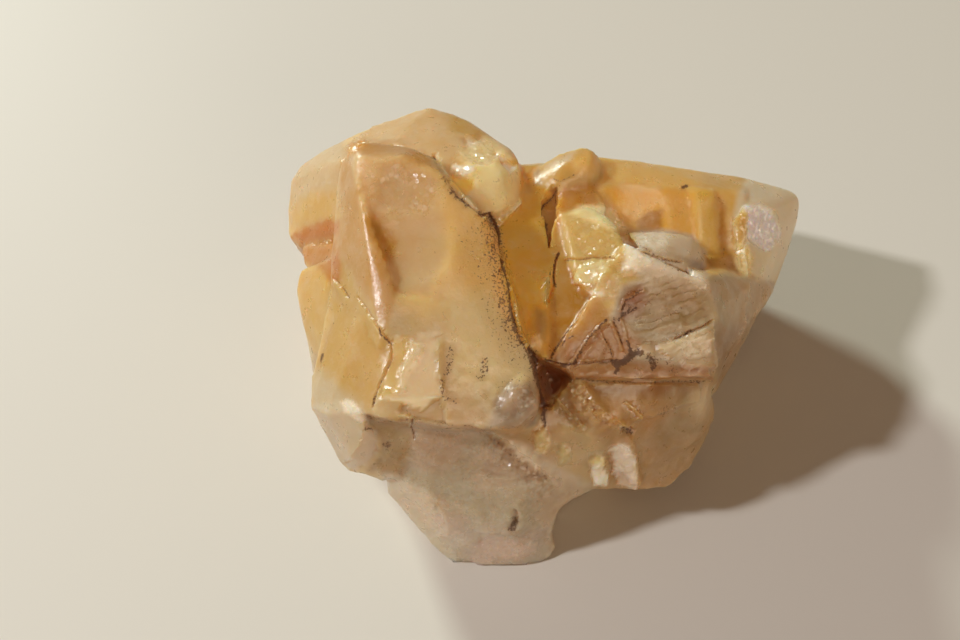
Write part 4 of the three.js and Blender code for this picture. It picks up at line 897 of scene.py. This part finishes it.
def near_thin_line(points, normals):
    """Whether each point lies beside a crack or a thin ridge of the seen side."""
    found = np.zeros(len(points), bool)
    shown = how_shown(points, normals) > 0.5
    places = seen_from_eye(points[shown])[:, :2]
    close = np.zeros(len(places), bool)
    for half_width, _, line in STAIN_AND_SHADE_LINES + RIDGE_LINES:
        if half_width < THIN_LINE:
            close |= beside(places, line, THIN_LINE) > 0.1
    found[shown] = close
    return found


# The relief

# Wear: rounds of evening, size of the worn patches, least and most wear, seed
WEAR = (
    (2, 3.0, 0.1, 0.8, SEED["light wear"]),
    (8, 2.2, -0.9, 0.7, SEED["deep wear"]),
)
SWELL_SIZE = 6.0
SWELL_HEIGHT = 0.09
GRAIN_SIZE = 0.9
GRAIN_HEIGHT = 0.02
# Shell-shaped hollows: size, height on the hidden side and on the seen side, seed
HOLLOWS = (
    (4.5, 0.24, 0.10, SEED["hollows"]),
    (1.8, 0.12, 0.06, SEED["small hollows"]),
)
# The mean height of scallops, for the hollows and for the broken textures
HOLLOWS_MEAN = 0.35
TEXTURE_MEAN = 0.4
# How far the outlines of the small forms wander, and in how wide bends
FORM_WOBBLE = 0.10
FORM_WOBBLE_SIZE = 0.7


def worn(points, triangles):
    """Ridges are rubbed and chipped a little, more in some places than in others."""
    edges, _ = edges_of(triangles)
    normals = unit(evened(point_normals(points, triangles), edges, 3))
    for times, size, least, most, seed in WEAR:
        amount = least + (most - least) * (0.5 + 0.5 * waves(points, size, seed))
        inward = ((evened(points, edges, times) - points) * normals).sum(axis=1)
        moved = np.minimum(inward, 0) * np.clip(amount, 0, 1)
        points = points + normals * moved[:, None]
    return points


def broken(points, share, size, seed, lean=0.6):
    """Scallops around a mean of 0, as high as the share says."""
    return share * (scallops(points, size, seed, lean) - TEXTURE_MEAN)


def ripples(points, size=1.0, squeeze=(0.55, 1.3, 0.6)):
    """Low waves of a shell-shaped break, wider than they are high."""
    return broken(seen_from_eye(points) * np.array(squeeze), 1.0, size, SEED["ripples"])


def roughness(points, size=1.0, fine_size=0.5):
    """Sharp little breaks in every direction."""
    coarse = broken(points, 1.3, size, SEED["rough"])
    return coarse + broken(points, 0.7, fine_size, SEED["fine rough"])


def shells(points, size=2.8, fine_size=0.9):
    """Wide slanting shells with small ones on them."""
    wide = broken(points, 1.2, size, SEED["shells"], 1.2)
    return wide + broken(points, 0.3, fine_size, SEED["fine shells"])


def sawtooth(value):
    """Rises evenly from -0.5 to 0.5 and falls back at once, over each whole number."""
    return value - np.floor(value) - 0.5


def steps(points, width=0.75, slope=0.35, bend=0.8, bend_size=2.4, grain=0.4, grain_size=0.6):
    """Slanting terraces of a cleaved face."""
    right, up, _ = seen_from_eye(points).T
    bends = bend * rough_waves(points, bend_size, SEED["steps"])
    grains = grain * rough_waves(points, grain_size, SEED["fine steps"])
    return sawtooth((up - slope * right) / width + bends) + grains


def ribs(points, width=0.5, lean=0.12, bend=0.4, bend_size=1.5):
    """Upright ribs, side by side."""
    right, up, _ = seen_from_eye(points).T
    return sawtooth(right / width + lean * up + bend * rough_waves(points, bend_size, SEED["ribs"]))


TEXTURES = {"RIPPLES": ripples, "ROUGH": roughness, "SHELLS": shells, "STEPS": steps, "RIBS": ribs}


def small_forms(points, shown):
    """The height that the zones' small forms, ridges and broken textures add."""
    places = seen_from_eye(points)[:, :2]
    right = waves(points, FORM_WOBBLE_SIZE, SEED["form wobble right"])
    up = waves(points, FORM_WOBBLE_SIZE, SEED["form wobble up"])
    places = places + FORM_WOBBLE * np.stack([right, up], axis=1)
    height = np.zeros(len(points))
    for rise, softness, outline in FORM_ZONES:
        height += rise * inside(places, outline, softness)
    for half_width, rise, line in RIDGE_LINES:
        height += rise * beside(places, line, half_width)
    for kind, rise, softness, outline in TEXTURE_ZONES:
        share = inside(places, outline, softness)
        there = share > 0
        height[there] += rise * share[there] * TEXTURES[kind](points[there])
    return height * shown


def relief(points, triangles, shown):
    """The points moved in or out by swells, hollows, grain and the small forms."""
    edges, _ = edges_of(triangles)
    normals = unit(evened(point_normals(points, triangles), edges, 2))
    height = SWELL_HEIGHT * rough_waves(points, SWELL_SIZE, SEED["swell"])
    for size, hidden_height, seen_height, seed in HOLLOWS:
        depth = hidden_height + (seen_height - hidden_height) * shown
        height += depth * (scallops(points, size, seed) - HOLLOWS_MEAN)
    height += GRAIN_HEIGHT * rough_waves(points, GRAIN_SIZE, SEED["grain"])
    height += small_forms(points, shown)
    points = points + normals * height[:, None]
    # The shape stays inside the box of the CAD node.
    low, high = (np.array(corner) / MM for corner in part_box(NODE))
    return np.clip(points, low, high)


# Where the zones lie


# The turn of a face to the eye, as a cosine, where it starts to count as seen and where it is seen
TURNED_AWAY = -0.35
TURNED_TO_EYE = 0.1


def how_shown(points, normals):
    """1 on faces turned to the eye, 0 on faces turned well away."""
    eye_place = SIGHT_MIDDLE + SIGHT_NEAR * EYE_DISTANCE
    facing = (unit(normals) * unit(eye_place - points)).sum(axis=1)
    return smoothstep(TURNED_AWAY, TURNED_TO_EYE, facing)


def inside(places, outline, softness):
    """1 well inside an outline, 0 well outside it, and a soft change over its edge."""
    corners = np.array(outline)
    share = np.zeros(len(places))
    close = around(places, corners, softness)
    chosen = places[close]
    nearest = np.full(len(chosen), np.inf)
    crossings = np.zeros(len(chosen), int)
    for start, end in zip(corners, np.roll(corners, -1, axis=0)):
        nearest = np.minimum(nearest, distance_to(chosen, start, end))
        above = (start[1] > chosen[:, 1]) != (end[1] > chosen[:, 1])
        slope = (end[0] - start[0]) / ((end[1] - start[1]) or 1e-9)
        crossings += above & (chosen[:, 0] < start[0] + slope * (chosen[:, 1] - start[1]))
    signed = np.where(crossings % 2 == 1, nearest, -nearest)
    share[close] = smoothstep(-softness, softness, signed)
    return share


def around(places, corners, margin):
    """Which places lie in the corners' box, widened by a margin."""
    low, high = corners.min(axis=0) - margin, corners.max(axis=0) + margin
    return ((places > low) & (places < high)).all(axis=1)


def distance_to(places, start, end):
    """How far each place is from the straight line between two ends."""
    along = end - start
    share = np.clip((places - start) @ along / (along @ along), 0, 1)
    return np.linalg.norm(places - start - share[:, None] * along, axis=1)


def beside(places, line, half_width):
    """1 on a line of places, falling to 0 at twice its half width."""
    ends = np.array(line)
    share = np.zeros(len(places))
    close = around(places, ends, half_width * 2)
    nearest = np.min([distance_to(places[close], a, b) for a, b in zip(ends, ends[1:])], axis=0)
    share[close] = 1 - smoothstep(half_width * 0.6, half_width * 2, nearest)
    return share


# Colour, stain, painted shade and glitter

# How far the edges of the zones wander, and in how wide bends
WOBBLE_SIZE = 2.0
WIDE_WOBBLE = 0.5
SLIGHT_WOBBLE = 0.12
# Zones with a softer edge than this have the wide wobble.
CLEAR_EDGE = 0.3
# The hidden side is greyish at the base and honey-coloured above these heights.
GREY_BELOW = 4
HONEY_ABOVE = 20
HEIGHT_WOBBLE = 5
HEIGHT_WOBBLE_SIZE = 14.0
# Patterns of the hidden side: size, and the heights where they start and are full
CLOUD_PATTERN = (9.0, -0.2, 0.6)
RUST_PATTERN = (7.0, 0.35, 0.7)
STAIN_PATTERN = (5.0, 0.45, 0.8)
CLOUD_SHARE = 0.6
BACK_STAIN = 0.25
BACK_GLITTER = 0.15


def wobbled_places(points):
    """The places of the points in the sight, moved slightly and moved more."""
    places = seen_from_eye(points)[:, :2]
    right = rough_waves(points, WOBBLE_SIZE, SEED["colour wobble right"], 4)
    up = rough_waves(points, WOBBLE_SIZE, SEED["colour wobble up"], 4)
    wobble = np.stack([right, up], axis=1)
    return places + SLIGHT_WOBBLE * wobble, places + WIDE_WOBBLE * wobble


def patches(points, pattern, seed):
    """0 outside patches of a pattern, 1 inside them and a smooth change between."""
    size, start, full = pattern
    return smoothstep(start, full, rough_waves(points, size, seed))


def hidden_colours(points):
    """Grey at the base and honey above, with pale clouds and rusty patches."""
    height = points[:, 2] + HEIGHT_WOBBLE * rough_waves(points, HEIGHT_WOBBLE_SIZE, SEED["amber height"])
    amber = smoothstep(GREY_BELOW, HONEY_ABOVE, height)[:, None]
    cloudy = patches(points, CLOUD_PATTERN, SEED["clouds"])[:, None]
    rusty = patches(points, RUST_PATTERN, SEED["rust"])[:, None]
    colours = GREY_PINK * (1 - amber) + HONEY * amber
    colours = colours * (1 - CLOUD_SHARE * cloudy) + WARM_WHITE * CLOUD_SHARE * cloudy
    return colours * (1 - rusty) + RUST_YELLOW * rusty


def painted(points, shown):
    """Colour, stains with painted shade lines, and glitter at each point; some colour zones are painted
    shade or painted glints.
    """
    near_places, rough_places = wobbled_places(points)
    colours = hidden_colours(points)
    # Some zones are painted shade in hollows, gaps and under edges, and some are painted glints
    for colour, softness, outline in COLOUR_ZONES:
        used = near_places if softness < CLEAR_EDGE else rough_places
        share = (inside(used, outline, softness) * shown)[:, None]
        colours = colours * (1 - share) + colour * share
    stain_and_shade = BACK_STAIN * patches(points, STAIN_PATTERN, SEED["back stain"]) * (1 - shown)
    # Stains, and dark lines painted as shade under edges, in the cavity and in grooves
    for half_width, strength, line in STAIN_AND_SHADE_LINES:
        used = near_places if half_width < THIN_LINE else rough_places
        stain_and_shade = np.maximum(stain_and_shade, strength * beside(used, line, half_width) * shown)
    glitter = BACK_GLITTER * (1 - shown)
    for softness, strength, outline in GLITTER_ZONES:
        glitter = np.maximum(glitter, strength * inside(near_places, outline, softness) * shown)
    return colours, stain_and_shade, glitter


def store(mesh, name, values):
    """Keeps a number or a colour at each point of a mesh."""
    if values.ndim == 1:
        layer = mesh.attributes.new(name, "FLOAT", "POINT")
        layer.data.foreach_set("value", values.astype(np.float32))
        return
    layer = mesh.color_attributes.new(name, "FLOAT_COLOR", "POINT")
    full = np.ones((len(values), 4), np.float32)
    full[:, :3] = values
    layer.data.foreach_set("color", full.ravel())


def mesh_from(name, points, triangles):
    """A mesh with smooth shading and crisp sharp edges."""
    mesh = bpy.data.meshes.new(name)
    mesh.vertices.add(len(points))
    mesh.vertices.foreach_set("co", (points * MM).astype(np.float32).ravel())
    mesh.loops.add(triangles.size)
    mesh.loops.foreach_set("vertex_index", triangles.astype(np.int32).ravel())
    mesh.polygons.add(len(triangles))
    mesh.polygons.foreach_set("loop_start", np.arange(0, triangles.size, 3, dtype=np.int32))
    mesh.update(calc_edges=True)
    mesh.validate()
    mesh.shade_smooth()
    mesh.set_sharp_from_angle(angle=math.radians(CRISP_ANGLE))
    return mesh


def crystal():
    """The crystal, made from the CAD node's own shape."""
    points, triangles = evenly_meshed(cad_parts[NODE])
    points, triangles = halved(points, triangles, near_thin_line)
    shown = how_shown(points, point_normals(points, triangles))
    colours, stain_and_shade, glitter = painted(points, shown)
    points = worn(points, triangles)
    points = relief(points, triangles, shown)
    mesh = mesh_from("quartz", points, triangles)
    store(mesh, "tint", np.clip(colours, 0, 1))
    store(mesh, "stain_and_shade", stain_and_shade)
    store(mesh, "glitter", glitter)
    piece = bpy.data.objects.new("quartz", mesh)
    bpy.context.scene.collection.objects.link(piece)
    piece.data.materials.append(quartz_material())
    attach(piece, "root")
    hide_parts(NODE)
    return piece


class Nodes:
    """Short calls for building one material's node tree."""

    def __init__(self, material):
        material.use_nodes = True
        self.tree = material.node_tree
        self.shader = self.tree.nodes["Principled BSDF"]

    def add(self, kind, settings=None, **links):
        node = self.tree.nodes.new(kind)
        for name, value in (settings or {}).items():
            setattr(node, name, value)
        for name, value in links.items():
            self.put(node.inputs[name.replace("_", " ")], value)
        return node

    def put(self, socket, value):
        if isinstance(value, bpy.types.NodeSocket):
            self.tree.links.new(value, socket)
        else:
            socket.default_value = value

    def attribute(self, name):
        return self.add("ShaderNodeAttribute", {"attribute_name": name})

    def math(self, operation, first, second=0.0, third=0.0):
        node = self.add("ShaderNodeMath", {"operation": operation})
        for socket, value in zip(node.inputs, (first, second, third)):
            self.put(socket, value)
        return node.outputs[0]

    def vector(self, operation, first, second=(0, 0, 0), scale=1.0):
        node = self.add("ShaderNodeVectorMath", {"operation": operation})
        self.put(node.inputs[0], first)
        if operation == "SCALE":
            self.put(node.inputs["Scale"], scale)
        elif operation != "NORMALIZE":
            self.put(node.inputs[1], second)
        return node.outputs[0]

    def ramp(self, value, low, high):
        """0 below low, 1 above high and a smooth change between them."""
        node = self.add("ShaderNodeMapRange", {"interpolation_type": "SMOOTHSTEP"}, Value=value)
        node.inputs["From Min"].default_value = low
        node.inputs["From Max"].default_value = high
        return node.outputs["Result"]

    def noise(self, size, detail=3.0, rough=0.55, warp=0.0):
        node = self.add("ShaderNodeTexNoise", Vector=self.place, Scale=1 / size, Detail=detail)
        node.inputs["Roughness"].default_value = rough
        node.inputs["Distortion"].default_value = warp
        return node.outputs["Fac"]

    def mix(self, share, first, second, blend="MIX"):
        node = self.add("ShaderNodeMix", {"data_type": "RGBA", "blend_type": blend})
        self.put(node.inputs[0], share)
        self.put(node.inputs[6], first)
        self.put(node.inputs[7], second)
        return node.outputs[2]


# The quartz material

# Three patterns in the quartz, each with: size, detail, roughness and warp; where it starts and is
# full; its strongest share and its colour
MILK = (3.5, 4, 0.6, 0.6)
MILK_REACH = (0.35, 0.75)
MILK_SHARE = 0.16
MILK_COLOUR = (0.92, 0.84, 0.66, 1)
VEIL = (1.1, 4, 0.6, 1.2)
VEIL_REACH = (0.5, 0.75)
VEIL_SHARE = 0.10
VEIL_COLOUR = (0.95, 0.88, 0.78, 1)
SMOKE = (2.2, 3, 0.5, 0.4)
SMOKE_REACH = (0.5, 0.8)
SMOKE_SHARE = 0.12
SMOKE_COLOUR = (0.42, 0.24, 0.09, 1)
SPECK_SIZE = 0.22
SPECK_LEVEL = 0.74
STAINED_SPECK_LEVEL = 0.36
SPECK_COLOUR = (0.095, 0.038, 0.012, 1)
SPECK_COVER = 0.85
SPECK_EDGE = 0.05
# How strong a stain or a painted shade line is where its grains start, where all of them show, and where
# they close up
STAIN_START = 0.02
STAIN_FULL = 0.2
STAIN_CLOSING = 0.75
STAIN_CLOSED = 1.0
WASH_COLOUR = (0.40, 0.19, 0.05, 1)
WASH_COVER = 0.35
GLOSSY_ROUGHNESS = 0.18
SHEEN_SIZE = 1.6
SHEEN_ROUGHNESS = 0.25
GLITTER_GLOSS = 0.14
SPECK_ROUGHNESS = 0.4
# Small broken faces: their size, the way most of them look, and how far they turn
BREAK_SIZE = 0.38
GLINT_WAY = (-0.43, -0.25, 0.87)
GLINT_TURN = 0.9
BREAK_TURN = 0.05
GLITTER_TURN = 0.9
GRAIN_BUMP_SIZE = 0.5
GRAIN_BUMP = 0.06
GRAIN_BUMP_STRENGTH = 0.6
SPECK_BUMP = 0.4
# The inside: light spreads this far in red, green and blue, and some of it passes right through.
SPREAD_COLOUR = (1.0, 0.75, 0.5)
SPREAD_DEPTH = 3.0
CLEAR_SHARE = 0.25
QUARTZ_IOR = 1.54
TINT_INSIDE = (1.0, 0.72, 0.35, 1)
TINT_DENSITY = 25


def clouded(nodes, tint):
    """The zones' tint with milk, veils and smoke in it."""
    milk = nodes.ramp(nodes.noise(*MILK), *MILK_REACH)
    veil = nodes.ramp(nodes.noise(*VEIL), *VEIL_REACH)
    colour = nodes.mix(nodes.math("MULTIPLY", milk, MILK_SHARE), tint, MILK_COLOUR)
    colour = nodes.mix(nodes.math("MULTIPLY", veil, VEIL_SHARE), colour, VEIL_COLOUR)
    smoke = nodes.ramp(nodes.noise(*SMOKE), *SMOKE_REACH)
    return nodes.mix(nodes.math("MULTIPLY", smoke, SMOKE_SHARE), colour, SMOKE_COLOUR)


def speck_cover(nodes, specks, stain_and_shade):
    """Where brown grains lie: scattered in weak stains and closed in strong stains and strong painted shade
    lines.
    """
    level = nodes.math("SUBTRACT", SPECK_LEVEL, nodes.math("MULTIPLY", stain_and_shade, STAINED_SPECK_LEVEL))
    cover = nodes.ramp(nodes.math("SUBTRACT", specks, level), 0.0, SPECK_EDGE)
    cover = nodes.math("MULTIPLY", cover, nodes.ramp(stain_and_shade, STAIN_START, STAIN_FULL))
    return nodes.math("MAXIMUM", cover, nodes.ramp(stain_and_shade, STAIN_CLOSING, STAIN_CLOSED))


def stained(nodes, colour, stain_and_shade, cover):
    """A colour under brown washes and brown grains; along the painted shade lines they stand for shade."""
    colour = nodes.mix(nodes.math("MULTIPLY", stain_and_shade, WASH_COVER), colour, WASH_COLOUR)
    return nodes.mix(nodes.math("MULTIPLY", cover, SPECK_COVER), colour, SPECK_COLOUR)


def gloss(nodes, glitter, cover):
    """The roughness: glossy on small broken faces and dull on brown grains."""
    sheen = nodes.math("MULTIPLY", nodes.noise(SHEEN_SIZE, 4, 0.6, 0.3), SHEEN_ROUGHNESS)
    rough = nodes.math("ADD", GLOSSY_ROUGHNESS, sheen)
    rough = nodes.math("SUBTRACT", rough, nodes.math("MULTIPLY", glitter, GLITTER_GLOSS))
    return nodes.math("ADD", rough, nodes.math("MULTIPLY", cover, SPECK_ROUGHNESS))


def glinting_normal(nodes, glitter, specks):
    """Small broken faces catch the light one by one. Most of them look nearly the same way."""
    cells = nodes.add("ShaderNodeTexVoronoi", Vector=nodes.place, Scale=1 / BREAK_SIZE)
    random_way = nodes.vector("SUBTRACT", cells.outputs["Color"], (0.5, 0.5, 0.5))
    common_way = nodes.vector("SCALE", GLINT_WAY, scale=nodes.math("MULTIPLY", glitter, GLINT_TURN))
    amount = nodes.math("ADD", BREAK_TURN, nodes.math("MULTIPLY", glitter, GLITTER_TURN))
    normal = nodes.add("ShaderNodeNewGeometry").outputs["Normal"]
    tilted = nodes.vector("ADD", normal, nodes.vector("SCALE", random_way, scale=amount))
    tilted = nodes.vector("NORMALIZE", nodes.vector("ADD", tilted, common_way))
    bump = nodes.add("ShaderNodeBump")
    bump.inputs["Distance"].default_value = GRAIN_BUMP * MM
    bump.inputs["Strength"].default_value = GRAIN_BUMP_STRENGTH
    fine_grain = nodes.noise(GRAIN_BUMP_SIZE, 5, 0.6, 0.2)
    grain = nodes.math("ADD", fine_grain, nodes.math("MULTIPLY", specks, SPECK_BUMP))
    nodes.put(bump.inputs["Height"], grain)
    nodes.put(bump.inputs["Normal"], tilted)
    return bump.outputs[0]


def inner_light(nodes):
    """Cloudy inside, with some light passing through and turning honey-coloured."""
    shader = nodes.shader
    shader.inputs["IOR"].default_value = QUARTZ_IOR
    shader.inputs["Subsurface Weight"].default_value = 1.0
    shader.inputs["Subsurface Radius"].default_value = SPREAD_COLOUR
    shader.inputs["Subsurface Scale"].default_value = SPREAD_DEPTH * MM
    shader.inputs["Transmission Weight"].default_value = CLEAR_SHARE
    body = nodes.add("ShaderNodeVolumeAbsorption")
    body.inputs["Color"].default_value = TINT_INSIDE
    body.inputs["Density"].default_value = TINT_DENSITY
    nodes.put(nodes.tree.nodes["Material Output"].inputs["Volume"], body.outputs[0])


def quartz_material():
    """Cloudy quartz: tint and stains from the zones, broken up by patterns in space; the zones hold painted
    shade, painted glints and painted shade lines too.
    """
    material = bpy.data.materials.new("quartz")
    nodes = Nodes(material)
    object_place = nodes.add("ShaderNodeTexCoord").outputs["Object"]
    nodes.place = nodes.vector("SCALE", object_place, scale=1 / MM)
    # The tint comes first, because after the others it comes out black.
    tint = nodes.attribute("tint").outputs["Color"]
    stain_and_shade = nodes.attribute("stain_and_shade").outputs["Fac"]
    glitter = nodes.attribute("glitter").outputs["Fac"]
    colour = clouded(nodes, tint)
    specks = nodes.noise(SPECK_SIZE, 3, 0.6, 0.4)
    cover = speck_cover(nodes, specks, stain_and_shade)
    nodes.put(nodes.shader.inputs["Base Color"], stained(nodes, colour, stain_and_shade, cover))
    nodes.put(nodes.shader.inputs["Roughness"], gloss(nodes, glitter, cover))
    nodes.put(nodes.shader.inputs["Normal"], glinting_normal(nodes, glitter, specks))
    inner_light(nodes)
    return material


# The stage: table, lights and camera

TABLE_WIDTH = 3
TABLE_COLOUR = (0.78, 0.74, 0.66, 1)
TABLE_ROUGHNESS = 0.6
TABLE_SHINE = 0.3
# Lamps: turn from the left towards the back, height, distance, width, power in watts, colour
LAMPS = {
    "key": (-5, 38, 750, 55, 3.3, (0.95, 0.95, 0.98)),
    "second": (51, 27.5, 1500, 240, 14, (0.88, 1.0, 0.92)),
    "front": (-120, 16, 1500, 900, 2.6, (1.0, 0.88, 0.72)),
    "glow": (-115, 50, 1500, 900, 8, (1.0, 0.88, 0.7)),
}
# The lamps face this height above the table.
LAMP_AIM = 15
ROOM_COLOUR = (1.0, 0.67, 0.44, 1)
ROOM_STRENGTH = 0.18
SENSOR = 36
NEAREST_SEEN = 5


def table_top():
    bpy.ops.mesh.primitive_plane_add(size=TABLE_WIDTH)
    floor = bpy.context.object
    floor.name = "floor"
    material = bpy.data.materials.new("table")
    material.use_nodes = True
    shader = material.node_tree.nodes["Principled BSDF"]
    shader.inputs["Base Color"].default_value = TABLE_COLOUR
    shader.inputs["Roughness"].default_value = TABLE_ROUGHNESS
    shader.inputs["Specular IOR Level"].default_value = TABLE_SHINE
    floor.data.materials.append(material)
    return floor


def lamp(name, turn, height, distance, width, power, colour):
    """A round lamp that faces the crystal."""
    data = bpy.data.lights.new(name, "AREA")
    data.shape = "DISK"
    data.size = width * MM
    data.energy = power
    data.color = colour
    light = bpy.data.objects.new(name, data)
    turn = math.radians(turn)
    height = math.radians(height)
    flat = math.cos(height)
    toward = Vector((-math.cos(turn) * flat, math.sin(turn) * flat, math.sin(height)))
    light.location = toward * distance * MM + Vector((0, 0, LAMP_AIM * MM))
    light.rotation_euler = toward.to_track_quat("Z", "Y").to_euler()
    bpy.context.scene.collection.objects.link(light)
    return light


def glow_inside(light, piece, floor):
    """Makes a lamp stand for the light that cloudy quartz scatters inside itself: it lights only
    the piece, and nothing of the piece shades it."""
    for name, chosen in (("receiver_collection", piece), ("blocker_collection", floor)):
        group = bpy.data.collections.new(name)
        group.objects.link(chosen)
        setattr(light.light_linking, name, group)


def room_light():
    world = bpy.data.worlds.new("room")
    world.use_nodes = True
    back = world.node_tree.nodes["Background"]
    back.inputs["Color"].default_value = ROOM_COLOUR
    back.inputs["Strength"].default_value = ROOM_STRENGTH
    bpy.context.scene.world = world


def eye():
    """The camera, on the line of sight."""
    data = bpy.data.cameras.new("eye")
    data.lens = LENS
    data.sensor_width = SENSOR
    data.clip_start = NEAREST_SEEN * MM
    camera = bpy.data.objects.new("eye", data)
    back = Vector(SIGHT_NEAR)
    camera.location = Vector(SIGHT_MIDDLE * MM) + back * EYE_DISTANCE * MM
    camera.rotation_euler = back.to_track_quat("Z", "Y").to_euler()
    bpy.context.scene.collection.objects.link(camera)
    bpy.context.scene.camera = camera


bpy.context.scene.view_settings.view_transform = "Standard"
table = table_top()
quartz = crystal()
lamps = {name: lamp(name, *settings) for name, settings in LAMPS.items()}
glow_inside(lamps["glow"], quartz, table)
room_light()
eye()
